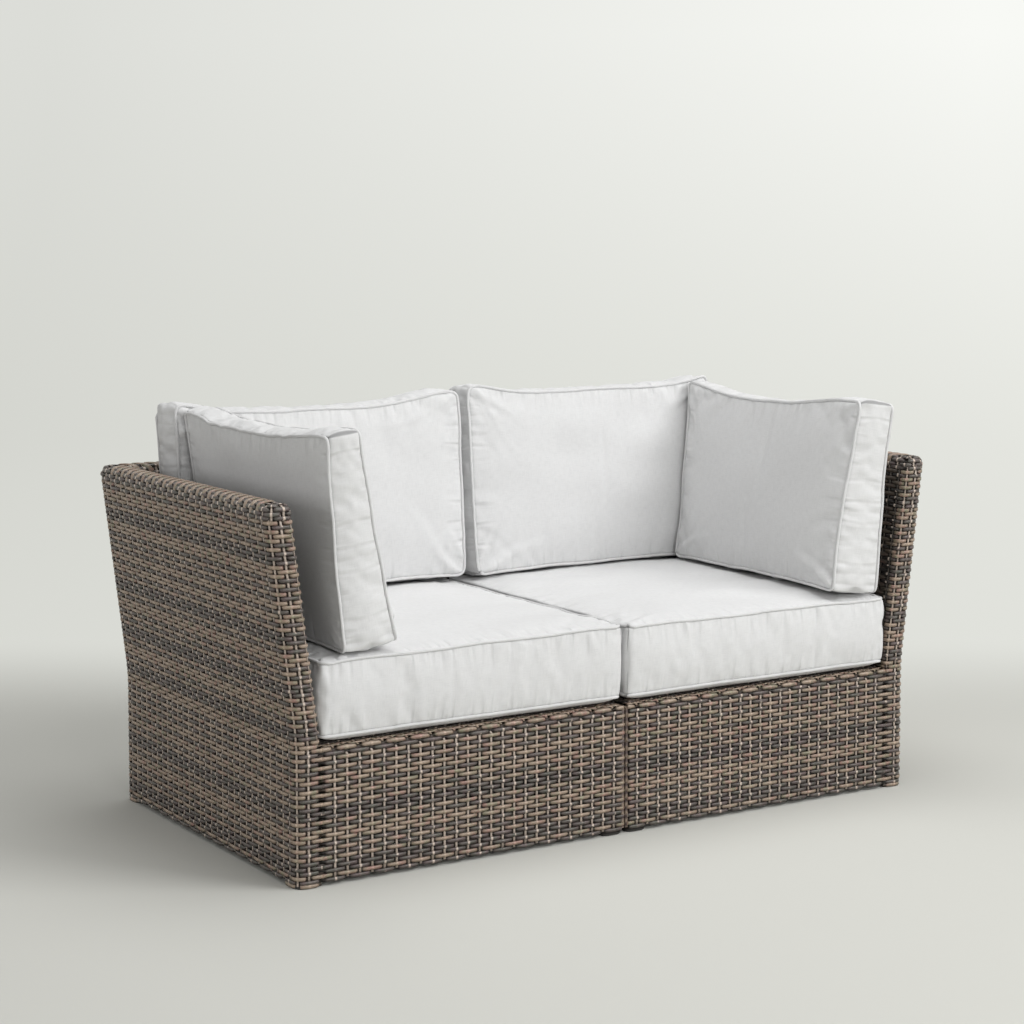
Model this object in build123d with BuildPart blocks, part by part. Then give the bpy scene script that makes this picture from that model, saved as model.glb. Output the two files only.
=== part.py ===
from build123d import *
import math
import os

# A patio loveseat: two mirrored woven corner modules, clipped together at a centre seam,
# with six loose box cushions. Each module is a tubular frame under woven skins.
# Its base is upright. Above the deck its side wall leans outward and its back wall stays upright.
# The origin is on the floor, under the middle of the seat.
# X runs along the width, Y from front to back, Z up. All lengths are in millimetres.
# The module on the +X side is drawn, and the other one is its mirror image.

# Module, measured outward from the centre seam
module_width = 705.0
module_depth = 762.0
wall_height = 685.0
deck_height = 250.0
wall_thickness = 52.0
seam_gap = 4.0
side_flare = 52.0
bend_height = 262.0
bend_length = 60.0

# Woven skins
skin_thickness = 5.7
skin_clearance = 0.3
skin_bottom = 11.0
outer_corner_radius = 20.0
inner_corner_radius = 12.0
return_length = 22.0
cap_height = 18.0
cap_edge_radius = 10.0
deck_edge_radius = 8.0
seam_edge_radius = 5.0

# Frame tubes
tube_wall = 2.0
rail_height = 25.0
base_rail_lift = 16.0
slat_count = 5
slat_width = 30.0
slat_height = 15.0

# Feet
post_bottom = 5.0
glide_size = 44.0
glide_corner_radius = 12.0
glide_edge = 1.5
plug_length = 18.0
plug_taper = 1.0
plug_clearance = 0.3

# Clips that hold the two modules together
clip_length = 60.0
clip_thickness = 3.0
clip_lip = 19.0
clip_spacing = 420.0
clip_corner_radius = 1.2

# What the cushions have in common
cushion_clearance = 0.3
rest_inset = 14.0
crown_rise = 14.0
crown_shoulder_rise = 10.0
crown_shoulder_inset = 45.0
crown_plateau_inset = 120.0
boxing_bulge = 3.0
side_pull = 7.0
seat_top_pull = 7.0
back_top_pull = 20.0
side_top_pull = 14.0
cushion_corner_radius = 22.0

# Seat cushion, which fills the deck but for these gaps
seat_thickness = 163.7
seat_welt_lift = 15.0
seat_seam_setback = 4.0
seat_side_gap = 3.0
seat_front_setback = 8.0
seat_back_gap = 8.0

# Back cushion, a little narrower than the deck
back_side_allowance = 11.0
back_tall = 400.0
back_thickness = 104.0
back_welt_lift = 8.0
back_lean = 4.0
back_wall_gap = 0.8
back_foot_rise = 8.6

# Side cushion, which reaches back to the crown of the back cushion
side_tall = 388.0
side_thickness = 107.0
side_welt_lift = 8.0
side_front_setback = 12.0
side_rear_gap = 16.3

# The loose cushions don't lie quite alike on the two sides
back_seam_setback = {"left": 1.0, "right": 20.0}
side_wall_gap = {"left": 69.0, "right": 44.0}
side_foot_rise = {"left": 8.7, "right": 7.3}

# Places worked out from the sizes above
front_face = -module_depth / 2
back_face = module_depth / 2
seam_face = seam_gap / 2
inner_front = front_face + wall_thickness
inner_back = back_face - wall_thickness
inner_side = module_width - wall_thickness
skin_layer = skin_thickness + skin_clearance
tube_size = wall_thickness - 2 * skin_layer
tube_bore = tube_size - 2 * tube_wall
post_corner_radius = outer_corner_radius - skin_layer
bore_corner_radius = post_corner_radius - tube_wall
rail_corner_radius = cap_edge_radius - skin_layer
frame_top = wall_height - skin_layer
deck_frame_top = deck_height - skin_layer
skin_top = wall_height - cap_height
flare_slope = side_flare / (skin_top - bend_height)
flare_angle = math.degrees(math.atan(flare_slope))
outer_post_x = module_width - wall_thickness / 2
seam_post_x = seam_face + wall_thickness / 2
front_post_y = front_face + wall_thickness / 2
back_post_y = back_face - wall_thickness / 2
rail_start_x = seam_post_x + tube_size / 2
rail_end_x = outer_post_x - tube_size / 2
rail_half_length = back_post_y - tube_size / 2
base_rail_z = base_rail_lift + rail_height / 2
deck_rail_z = deck_frame_top - rail_height / 2
top_rail_z = frame_top - rail_height / 2
deck_side = inner_side + skin_thickness
deck_back = inner_back + skin_thickness
bend_start = bend_height - bend_length / 2
bend_end = bend_height + bend_length / 2
# The bend is a parabola: an eighth of the full rise at its middle and a half at its end
bend_levels = [bend_start, bend_height, bend_end, skin_top]
bend_shifts = [0.0, flare_slope * bend_length / 8, flare_slope * bend_length / 2, side_flare]
seat_width = inner_side - seat_side_gap - seam_face - seat_seam_setback
seat_depth = inner_back - seat_back_gap - front_face - seat_front_setback
seat_bottom = deck_height + cushion_clearance
seat_welt = seat_bottom + seat_thickness - crown_rise
back_width = inner_side - seam_face - back_side_allowance
back_foot = seat_welt + back_foot_rise


def lean(height):
    # How far the side wall has moved outward at this height
    if height <= bend_levels[0]:
        return 0.0
    spans = zip(bend_levels, bend_levels[1:], bend_shifts, bend_shifts[1:])
    for low, high, low_shift, high_shift in spans:
        if height <= high:
            return low_shift + (high_shift - low_shift) * (height - low) / (high - low)
    return side_flare


def stay_upright(height):
    return 0.0


def levels_between(bottom, top):
    return [bottom] + [level for level in bend_levels if bottom < level < top] + [top]


def rise_with_wall(bottom, top, draw_section):
    # A piece whose plan section follows the lean of the side wall as it rises
    with BuildPart() as piece:
        for level in levels_between(bottom, top):
            with BuildSketch(Plane.XY.offset(level)):
                draw_section(lean(level))
        loft(ruled=True)
    return piece.part


def draw_box(x_low, x_high, y_low, y_high):
    with Locations(((x_low + x_high) / 2, (y_low + y_high) / 2)):
        Rectangle(x_high - x_low, y_high - y_low)


def draw_strip(outside, radii):
    # A strip one skin thick, to the left of a path of outside points with rounded corners
    with BuildLine() as edge:
        FilletPolyline(*outside, radius=radii)
        offset(amount=skin_thickness, side=Side.LEFT)
    make_face(edge.edges())


def block(x_low, x_high, y_low, y_high, z_low, z_high):
    with BuildPart() as piece:
        with BuildSketch(Plane.XY.offset(z_low)):
            draw_box(x_low, x_high, y_low, y_high)
        extrude(amount=z_high - z_low)
    return piece.part


def outer_post(y_middle):
    # A rounded square tube, open at its foot and head, that follows the lean of the wall
    def draw_tube(shift):
        with Locations((outer_post_x + shift, y_middle)):
            RectangleRounded(tube_size, tube_size, post_corner_radius)

    def draw_bore(shift):
        with Locations((outer_post_x + shift, y_middle)):
            RectangleRounded(tube_bore, tube_bore, bore_corner_radius)

    post_top = frame_top - rail_corner_radius
    tube = rise_with_wall(post_bottom, post_top, draw_tube)
    bore = rise_with_wall(post_bottom, post_top, draw_bore)
    with BuildPart() as post:
        add(tube)
        add(bore, mode=Mode.SUBTRACT)
    return post.part


def seam_post(y_middle, rail_top):
    # The same tube, upright. It stops below the rounded tops of the rails.
    with BuildPart() as post:
        with BuildSketch(Plane.XY.offset(post_bottom)):
            with Locations((seam_post_x, y_middle)):
                RectangleRounded(tube_size, tube_size, post_corner_radius)
                RectangleRounded(tube_bore, tube_bore, bore_corner_radius, mode=Mode.SUBTRACT)
        extrude(amount=rail_top - rail_corner_radius - post_bottom)
    return post.part


def cross_rail(y_middle, z_middle, x_end):
    # A rectangular tube along X
    with BuildPart() as rail:
        with BuildSketch(Plane.YZ.offset(rail_start_x)):
            with Locations((y_middle, z_middle)):
                RectangleRounded(tube_size, rail_height, rail_corner_radius)
                Rectangle(tube_bore, rail_height - 2 * tube_wall, mode=Mode.SUBTRACT)
        extrude(amount=x_end - rail_start_x)
    return rail.part


def side_rail(x_middle, z_middle, shift_at):
    # A rectangular tube along Y, whose section follows the wall that it stands in
    def draw_outline(margin, mode):
        reach = tube_size / 2 - margin
        span = rail_height / 2 - margin
        heights = levels_between(z_middle - span, z_middle + span)
        outer = [(x_middle + reach + shift_at(height), height) for height in heights]
        inner = [(x_middle - reach + shift_at(height), height) for height in reversed(heights)]
        with BuildLine() as outline:
            Polyline(*outer, *inner, close=True)
        return make_face(outline.edges(), mode=mode)

    with BuildPart() as rail:
        with BuildSketch(Plane.XZ):
            levels = draw_outline(0.0, Mode.ADD).vertices().group_by(Axis.Y)
            fillet(levels[0] + levels[-1], radius=rail_corner_radius)
            draw_outline(tube_wall, Mode.SUBTRACT)
        extrude(amount=rail_half_length, both=True)
    return rail.part


def make_frame():
    pieces = {}
    pieces["front_outer_post"] = outer_post(front_post_y)
    pieces["back_outer_post"] = outer_post(back_post_y)
    pieces["front_seam_post"] = seam_post(front_post_y, deck_frame_top)
    pieces["back_seam_post"] = seam_post(back_post_y, frame_top)
    for name, z_middle in (("base_rail", base_rail_z), ("deck_rail", deck_rail_z)):
        pieces[name + "_front"] = cross_rail(front_post_y, z_middle, rail_end_x)
        pieces[name + "_back"] = cross_rail(back_post_y, z_middle, rail_end_x)
        pieces[name + "_side"] = side_rail(outer_post_x, z_middle, lean)
        pieces[name + "_seam"] = side_rail(seam_post_x, z_middle, stay_upright)
    pieces["top_rail_side"] = side_rail(outer_post_x, top_rail_z, lean)
    top_rail_end = rail_end_x + lean(frame_top - rail_height)
    pieces["top_rail_back"] = cross_rail(back_post_y, top_rail_z, top_rail_end)
    return pieces


def make_slats():
    # Cross slats between the front and back deck rails
    pitch = (rail_end_x - rail_start_x) / (slat_count + 1)
    with BuildPart() as slats:
        with BuildSketch(Plane.XZ):
            with Locations(
                *[
                    (rail_start_x + pitch * (place + 1), deck_frame_top - slat_height / 2)
                    for place in range(slat_count)
                ]
            ):
                RectangleRounded(slat_width, slat_height, rail_corner_radius)
                Rectangle(
                    slat_width - 2 * tube_wall, slat_height - 2 * tube_wall, mode=Mode.SUBTRACT
                )
        extrude(amount=rail_half_length, both=True)
    return slats.part


def make_glides():
    # A plastic foot under each post, with a plug that sits in the open end of the tube
    with BuildPart() as glides:
        places = [
            (x_place, y_place)
            for x_place in (seam_post_x, outer_post_x)
            for y_place in (front_post_y, back_post_y)
        ]
        with BuildSketch():
            with Locations(*places):
                RectangleRounded(glide_size, glide_size, glide_corner_radius)
        extrude(amount=post_bottom)
        chamfer(glides.edges().group_by(Axis.Z)[0], length=glide_edge)
        plug_size = tube_bore - 2 * plug_clearance
        with BuildSketch(Plane.XY.offset(post_bottom)):
            with Locations(*places):
                RectangleRounded(plug_size, plug_size, bore_corner_radius - plug_clearance)
        extrude(amount=plug_length, taper=plug_taper)
    return glides.part


def make_side_panel():
    # The outer skin of the side: it comes round the front end of the wall and the back corner.
    # Above the deck it also turns round the inner front corner.
    ends = [(module_width, front_face), (module_width, back_face)]
    tail_x = module_width - return_length

    def draw_base(shift):
        points = [(inner_side, front_face), *ends, (tail_x, back_face)]
        outside = [(x_place + shift, y_place) for x_place, y_place in points]
        draw_strip(outside, [outer_corner_radius, outer_corner_radius])

    def draw_wall(shift):
        start = [(inner_side, front_face + return_length), (inner_side, front_face)]
        points = [*start, *ends, (tail_x, back_face)]
        outside = [(x_place + shift, y_place) for x_place, y_place in points]
        draw_strip(outside, [inner_corner_radius, outer_corner_radius, outer_corner_radius])

    base = rise_with_wall(skin_bottom, deck_height, draw_base)
    wall = rise_with_wall(deck_height, skin_top, draw_wall)
    with BuildPart() as panel:
        add(base)
        add(wall)
    return panel.part


def make_back_panel():
    # The outer skin of the back, which comes round the seam end of the back wall
    start_x = module_width - return_length

    def draw_base(shift):
        outside = [(start_x + shift, back_face), (seam_face, back_face), (seam_face, deck_back)]
        draw_strip(outside, inner_corner_radius)

    def draw_wall(shift):
        outside = [
            (start_x + shift, back_face),
            (seam_face, back_face),
            (seam_face, inner_back),
            (seam_face + return_length, inner_back),
        ]
        draw_strip(outside, inner_corner_radius)

    base = rise_with_wall(skin_bottom, deck_height, draw_base)
    wall = rise_with_wall(deck_height, skin_top, draw_wall)
    with BuildPart() as panel:
        add(base)
        add(wall)
    return panel.part


def make_front_panel():
    # The front skin, which rolls over the deck rail. Its end at the seam is eased.
    with BuildPart() as panel:
        with BuildSketch(Plane.YZ.offset(seam_face)):
            outside = [
                (inner_front, deck_height),
                (front_face, deck_height),
                (front_face, skin_bottom),
            ]
            draw_strip(outside, deck_edge_radius)
        extrude(amount=inner_side - seam_face)
        seam_edge = panel.edges().filter_by(Axis.Z).group_by(Axis.X)[0].sort_by(Axis.Y)[0]
        fillet(seam_edge, radius=seam_edge_radius)
    return panel.part


def make_linings():
    # The inner skins of the two walls, which stand on the deck
    def draw_side(shift):
        x_low = inner_side + shift
        draw_box(x_low, x_low + skin_thickness, front_face + return_length, inner_back)

    def draw_back(shift):
        draw_box(seam_face + return_length, deck_side + shift, inner_back, deck_back)

    return {
        "side_lining": rise_with_wall(deck_height, skin_top, draw_side),
        "back_lining": rise_with_wall(deck_height, skin_top, draw_back),
    }


def rounded_block(inset, x_low, x_high, y_low, y_high, corners, is_rolled):
    # One side of a cap, moved inward by inset. corners gives the rounded upright edges.
    with BuildPart() as piece:
        with BuildSketch(Plane.XY.offset(skin_top)):
            draw_box(x_low + inset, x_high - inset, y_low + inset, y_high - inset)
        extrude(amount=cap_height - inset)
        for x_place, y_place, radius in corners:
            uprights = piece.edges().filter_by(Axis.Z)
            fillet(uprights.sort_by_distance((x_place, y_place, skin_top))[0], radius=radius - inset)
        top_edges = piece.edges().group_by(Axis.Z)[-1]
        fillet([edge for edge in top_edges if is_rolled(edge)], radius=cap_edge_radius - inset)
    return piece.part


def make_cap(passage, *shape):
    # A shell that rolls over the top of a wall, open where the top rail passes
    with BuildPart() as cap:
        add(rounded_block(0.0, *shape))
        add(rounded_block(skin_thickness, *shape), mode=Mode.SUBTRACT)
        add(passage, mode=Mode.SUBTRACT)
    return cap.part


def make_caps():
    cap_inner = inner_side + side_flare
    cap_outer = module_width + side_flare
    side_corners = [
        (cap_inner, front_face, inner_corner_radius),
        (cap_outer, front_face, outer_corner_radius),
        (cap_outer, back_face, outer_corner_radius),
    ]
    back_corners = [
        (seam_face, back_face, inner_corner_radius),
        (seam_face, inner_back, inner_corner_radius),
    ]

    def is_any(edge):
        return True

    def is_off_the_joint(edge):
        # The end that meets the side cap stays square
        return edge.center().X < cap_inner - cap_edge_radius

    side_shape = (cap_inner, cap_outer, front_face, back_face, side_corners, is_any)
    back_shape = (seam_face, cap_inner, inner_back, back_face, back_corners, is_off_the_joint)
    passage = block(
        cap_inner - skin_thickness,
        cap_inner + skin_thickness,
        inner_back + skin_thickness,
        back_face - skin_thickness,
        skin_top,
        wall_height - skin_thickness,
    )
    return {
        "side_cap": make_cap(passage, *side_shape),
        "back_cap": make_cap(passage, *back_shape),
    }


def make_seam_panel():
    # The skin of the base at the seam, which fits under the roll of the front panel
    with BuildPart() as panel:
        with BuildSketch(Plane.YZ.offset(seam_face)):
            y_low = front_face + skin_thickness
            draw_box(y_low, deck_back, skin_bottom, deck_height - skin_thickness)
        extrude(amount=skin_thickness)
        front_edge = panel.edges().filter_by(Axis.X).group_by(Axis.Z)[-1].sort_by(Axis.Y)[0]
        fillet(front_edge, radius=deck_edge_radius - skin_thickness)
    return panel.part


def make_skins():
    pieces = {
        "side_panel": make_side_panel(),
        "back_panel": make_back_panel(),
        "front_panel": make_front_panel(),
        "seam_panel": make_seam_panel(),
        "deck_panel": block(
            seam_face, deck_side, inner_front, deck_back, deck_height - skin_thickness, deck_height
        ),
    }
    pieces.update(make_linings())
    pieces.update(make_caps())
    return pieces


def draw_cushion_outline(half_width, half_length, top_pull, slant):
    # A rectangle with rounded corners, whose sides are drawn in between them,
    # the top one by its own pull. slant moves its upper left corner outward.
    corners = [
        Vector(-half_width, -half_length),
        Vector(half_width, -half_length),
        Vector(half_width, half_length),
        Vector(-half_width - slant, half_length),
    ]
    inward = [
        Vector(0, side_pull),
        Vector(-side_pull, 0),
        Vector(0, -top_pull),
        Vector(side_pull, 0),
    ]
    with BuildLine() as outline:
        for start, end, way in zip(corners, corners[1:] + corners[:1], inward):
            ThreePointArc(start, (start + end) / 2 + way, end)
    face = make_face(outline.edges())
    fillet(face.vertices(), radius=cushion_corner_radius)


def box_cushion(plane, width, length, thickness, welt_lift, top_pull, slant=0.0):
    # Lies on plane with its resting face and grows along the plane's normal:
    # resting face, lower seam, boxing, upper seam, crown
    upper_welt = thickness - crown_rise
    layers = (
        (0.0, rest_inset),
        (welt_lift, 0.0),
        ((welt_lift + upper_welt) / 2, -boxing_bulge),
        (upper_welt, 0.0),
        (upper_welt + crown_shoulder_rise, crown_shoulder_inset),
        (thickness, crown_plateau_inset),
    )
    with BuildPart() as cushion:
        for height, inset in layers:
            with BuildSketch(plane.offset(height)):
                draw_cushion_outline(width / 2 - inset, length / 2 - inset, top_pull, slant)
        loft(ruled=True)
    return cushion.part


def make_cushions(side):
    seat_middle = (
        seam_face + seat_seam_setback + seat_width / 2,
        front_face + seat_front_setback + seat_depth / 2,
        seat_bottom,
    )
    seat_plane = Plane(origin=seat_middle)
    seat = box_cushion(
        seat_plane, seat_width, seat_depth, seat_thickness, seat_welt_lift, seat_top_pull
    )

    # The back cushion leans on the rolled edge of the back wall
    lean_angle = math.radians(back_lean)
    touch_height = wall_height - cap_edge_radius
    foot_y = inner_back - back_wall_gap - (touch_height - back_foot) * math.tan(lean_angle)
    foot_x = seam_face + back_seam_setback[side] + back_width / 2
    back_up = Vector(0, math.sin(lean_angle), math.cos(lean_angle))
    back_plane = Plane(
        origin=Vector(foot_x, foot_y, back_foot) + back_up * (back_tall / 2),
        x_dir=(1, 0, 0),
        z_dir=(0, -math.cos(lean_angle), math.sin(lean_angle)),
    )
    back = box_cushion(
        back_plane, back_width, back_tall, back_thickness, back_welt_lift, back_top_pull
    )

    # The side cushion stands beside the side wall, at the same lean.
    # Its rear end follows the lean of the back cushion.
    wall_angle = math.radians(flare_angle)
    side_foot = seat_welt + side_foot_rise[side]
    foot_x = inner_side + lean(side_foot) - side_wall_gap[side]
    side_front = front_face + side_front_setback
    side_rear = foot_y - (back_thickness - crown_rise) * math.cos(lean_angle) - side_rear_gap
    side_length = side_rear - side_front
    side_up = Vector(math.sin(wall_angle), 0, math.cos(wall_angle))
    side_plane = Plane(
        origin=Vector(foot_x, (side_front + side_rear) / 2, side_foot) + side_up * (side_tall / 2),
        x_dir=(0, -1, 0),
        z_dir=(-math.cos(wall_angle), 0, math.sin(wall_angle)),
    )
    rear_slant = side_tall * math.tan(lean_angle)
    side_piece = box_cushion(
        side_plane,
        side_length,
        side_tall,
        side_thickness,
        side_welt_lift,
        side_top_pull,
        rear_slant,
    )
    return {"seat_cushion": seat, "back_cushion": back, "side_cushion": side_piece}


def make_clips():
    # Plastic clips that grip the two seam rails of the base from below
    inner_half = seam_post_x + tube_size / 2 + skin_clearance
    outer_half = inner_half + clip_thickness
    base_top = skin_bottom - skin_clearance
    base_bottom = base_top - clip_thickness
    lip_top = base_top + clip_lip
    outline = [
        (-outer_half, base_bottom),
        (outer_half, base_bottom),
        (outer_half, lip_top),
        (inner_half, lip_top),
        (inner_half, base_top),
        (-inner_half, base_top),
        (-inner_half, lip_top),
        (-outer_half, lip_top),
    ]
    with BuildPart() as clips:
        for y_place in (-clip_spacing / 2, clip_spacing / 2):
            with BuildSketch(Plane.XZ.offset(y_place)) as section:
                with BuildLine():
                    Polyline(*outline, close=True)
                make_face()
                fillet(section.vertices(), radius=clip_corner_radius)
            extrude(amount=clip_length / 2, both=True)
    return clips.part


os.makedirs("parts", exist_ok=True)

module = {**make_frame(), "slats": make_slats(), "glides": make_glides(), **make_skins()}
finished = {"joining_clips": make_clips()}
for side in ("right", "left"):
    for name, piece in {**module, **make_cushions(side)}.items():
        placed = piece if side == "right" else mirror(piece, about=Plane.YZ)
        finished[side + "_" + name] = placed

for name, piece in finished.items():
    piece.label = name
    export_step(piece, "parts/" + name + ".step")
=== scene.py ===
import math
from functools import partial

import bpy
import numpy as np
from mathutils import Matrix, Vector


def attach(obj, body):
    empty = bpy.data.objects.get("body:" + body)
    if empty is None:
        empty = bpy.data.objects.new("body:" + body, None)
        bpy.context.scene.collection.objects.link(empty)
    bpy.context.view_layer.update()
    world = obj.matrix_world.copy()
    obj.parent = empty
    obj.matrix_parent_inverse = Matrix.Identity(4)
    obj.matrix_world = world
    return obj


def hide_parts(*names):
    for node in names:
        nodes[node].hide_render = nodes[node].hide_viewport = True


# Patio loveseat: two woven corner modules and six loose box cushions.
# Metres, in the same frame as the CAD. The +X ("right") module is made and mirrored for the left.

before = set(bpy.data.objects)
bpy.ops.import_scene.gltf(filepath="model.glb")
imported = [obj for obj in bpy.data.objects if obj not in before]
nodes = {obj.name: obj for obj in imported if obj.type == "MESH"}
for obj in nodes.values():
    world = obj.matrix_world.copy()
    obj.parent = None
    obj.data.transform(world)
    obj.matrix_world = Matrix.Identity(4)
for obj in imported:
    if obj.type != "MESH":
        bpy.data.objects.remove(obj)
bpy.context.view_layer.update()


def report(stage):
    print("scene:", stage)


def hexToLinear(code):
    # "#rrggbb" in sRGB to the linear colour that shaders take
    parts = [int(code[i:i + 2], 16) / 255 for i in (1, 3, 5)]
    return (*[c / 12.92 if c <= 0.04045 else ((c + 0.055) / 1.055) ** 2.4 for c in parts], 1.0)


def fillInputs(tree, node, inputs):
    # Values are numbers, colours, sockets, or nodes, whose first output in use is linked
    for key, value in inputs.items() if isinstance(inputs, dict) else enumerate(inputs):
        if isinstance(value, bpy.types.Node):
            value = next(socket for socket in value.outputs if socket.enabled)
        if isinstance(value, bpy.types.NodeSocket):
            tree.links.new(value, node.inputs[key])
        else:
            node.inputs[key].default_value = value


def addNode(tree, kind, inputs=(), **settings):
    node = tree.nodes.new(kind)
    for key, value in settings.items():
        setattr(node, key, value)
    fillInputs(tree, node, inputs)
    return node


def newMaterial(name, **shader):
    material = bpy.data.materials.new(name)
    material.use_nodes = True
    tree = material.node_tree
    surface = tree.nodes["Principled BSDF"]
    fillInputs(tree, surface, {key.replace("_", " "): value for key, value in shader.items()})
    return material, tree, surface, partial(addNode, tree)


def meshObject(name, points, faces, material=None):
    mesh = bpy.data.meshes.new(name)
    mesh.from_pydata([tuple(p) for p in points], [], faces)
    mesh.validate()
    if material:
        mesh.materials.append(material)
    mesh.polygons.foreach_set("use_smooth", [True] * len(mesh.polygons))
    obj = bpy.data.objects.new(name, mesh)
    bpy.context.scene.collection.objects.link(obj)
    return obj


def addFact(mesh, name, values):
    # One number for each point, for a material to read
    store = mesh.attributes.new(name, "FLOAT", "POINT")
    store.data.foreach_set("value", np.asarray(values, np.float32))


def getPoints(mesh):
    points = np.zeros(len(mesh.vertices) * 3)
    mesh.vertices.foreach_get("co", points)
    return points.reshape(-1, 3)


def smoothStep(low, high, value):
    t = np.clip((value - low) / (high - low), 0, 1)
    return t * t * (3 - 2 * t)


# Polyethylene wicker strand: flat half-round, extruded, then woven.
# Taupe and dark brown strands, with fine drawn lines along them and a satin shine.
strandLook = {
    "lightStrand": "#958474",
    "lightStrandWarm": "#9E7D72",
    "lightStrandGreen": "#87826C",
    "darkStrand": "#5E5150",
    "darkStrandGreen": "#514F48",
    "stakeStrand": "#B3A599",
    "roughness": 0.38,
    "drawnLineSpacing": 0.0009,
    "drawnLineDepth": 0.0002,
    # Painted shade in a strand's dives behind stakes, and a painted highlight on its crests over them
    "dipShade": 0.22,
    "crestGlow": 1.4,
    "knobShare": 0.50,
    "knobSpacing": 0.016,
    # How far the linings' copy of the strand is darkened, as painted shade
    "liningShade": 0.22,
    "runLength": 0.011,
    "patchLength": 0.030,
}


def strandMaterial(name, depth=1.0):
    # Depth darkens the whole colour: 1 for the strand itself, below 1 for a copy darkened by painted shade
    material, tree, surface, add = newMaterial(name, Roughness=strandLook["roughness"], IOR=1.5)
    # Tone: 0 light row, 1 dark row, past 1 a dark row with a pale knob at each crossing, below 0 a stake.
    # Phase: whole where a row crosses a stake, even in front of it and odd behind it.
    tone, phase = (add("ShaderNodeAttribute", attribute_name=fact).outputs["Fac"]
                   for fact in ("strandTone", "strandPhase"))
    coords = add("ShaderNodeTexCoord").outputs["Object"]
    runs, patches, knobs, lines = (
        add("ShaderNodeTexNoise", {"Vector": coords, "Scale": 1 / strandLook[size], "Detail": detail})
        for size, detail in (("runLength", 2.0), ("patchLength", 2.0), ("knobSpacing", 0.0),
                             ("drawnLineSpacing", 1.0)))
    turn = add("ShaderNodeMath", [phase, math.pi], operation="MULTIPLY")
    swing = add("ShaderNodeMath", [turn], operation="COSINE")
    # At some crossings the stake pushes out between dark strands as a pale knob
    always = add("ShaderNodeMath", [tone, 1.05], operation="GREATER_THAN")
    knobs = add("ShaderNodeMath", [knobs, always], operation="ADD")
    # Pinkish and greenish runs and a slower drift between strands. Painted shade darkens a strand where it
    #     # dives behind a stake, and a painted highlight brightens its crest over one.
    ramps = {
        "hue": (runs, 0.35, 0.65, 0.0, 1.0),
        "plain": (patches, 0.4, 0.6, 0.0, 1.0),
        "stake": (tone, -0.5, 0.0, 1.0, 0.0),
        "drift": (patches, 0.3, 0.7, 0.84 * depth, 1.14 * depth),
        "knob": (knobs, strandLook["knobShare"], strandLook["knobShare"] + 0.02, 0.0, 0.85),
        "crossing": (swing, 0.945, 0.975, 0.0, 1.0),
        "dip": (swing, -0.80, -0.60, strandLook["dipShade"], 1.0),
        "paintedCrestHighlight": (swing, 0.93, 1.0, 1.0, strandLook["crestGlow"]),
    }
    limits = ("Value", "From Min", "From Max", "To Min", "To Max")
    ramps = {ramp: add("ShaderNodeMapRange", dict(zip(limits, values))) for ramp, values in ramps.items()}
    knob = add("ShaderNodeMath", [ramps["knob"], ramps["crossing"]], operation="MULTIPLY")
    knob = add("ShaderNodeMath", [knob, tone], operation="MULTIPLY", use_clamp=True)
    # Painted shade in the dives times the painted highlight on the crests, as one factor on the colour
    along = add("ShaderNodeMath", [ramps["dip"], ramps["paintedCrestHighlight"]], operation="MULTIPLY")
    colours = {key: hexToLinear(code) for key, code in strandLook.items() if isinstance(code, str)}
    light = add("ShaderNodeMix", {
        0: ramps["hue"], 6: colours["lightStrandGreen"], 7: colours["lightStrandWarm"]}, data_type="RGBA")
    light = add("ShaderNodeMix", {0: ramps["plain"], 6: light, 7: colours["lightStrand"]}, data_type="RGBA")
    dark = add("ShaderNodeMix", {
        0: ramps["hue"], 6: colours["darkStrandGreen"], 7: colours["darkStrand"]}, data_type="RGBA")
    colour = add("ShaderNodeMix", {0: tone, 6: light, 7: dark}, data_type="RGBA")
    colour = add("ShaderNodeMix", {0: ramps["stake"], 6: colour, 7: colours["stakeStrand"]}, data_type="RGBA")
    colour = add("ShaderNodeVectorMath", {0: colour, "Scale": ramps["drift"]}, operation="SCALE")
    colour = add("ShaderNodeMix", {0: knob, 6: colour, 7: colours["stakeStrand"]}, data_type="RGBA")
    colour = add("ShaderNodeVectorMath", {0: colour, "Scale": along}, operation="SCALE")
    bump = add("ShaderNodeBump", {
        "Height": lines, "Strength": 0.15, "Distance": strandLook["drawnLineDepth"]})
    fillInputs(tree, surface, {"Base Color": colour, "Normal": bump})
    return material


# Cushion canvas: spun olefin, plain weave, pale grey-white, matt with a faint fuzz.
# The real threads are about 0.5 mm apart, too fine to show, so they are drawn at 1.3 mm.
canvasLook = {
    "threadLight": "#DDDDDD",
    "threadDark": "#CCCCCC",
    "threadSpacing": 0.0013,
    "threadDepth": 0.0005,
    "slubLength": 14,
    "slubSize": 0.012,
    "puckerWidth": 0.013,
    "puckerLength": 0.028,
    "puckerGroup": 0.09,
    "puckerDepth": 0.0011,
    "puckerSoftness": 0.24,
    "creaseWidth": 0.042,
    "creaseLength": 0.060,
    "creaseDepth": 0.0017,
    "creaseSoftness": 0.085,
    "valleyWidth": 0.0050,
    "valleyShade": 0.45,
    "pipingTint": 0.97,
    "roughness": 0.95,
}


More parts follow.
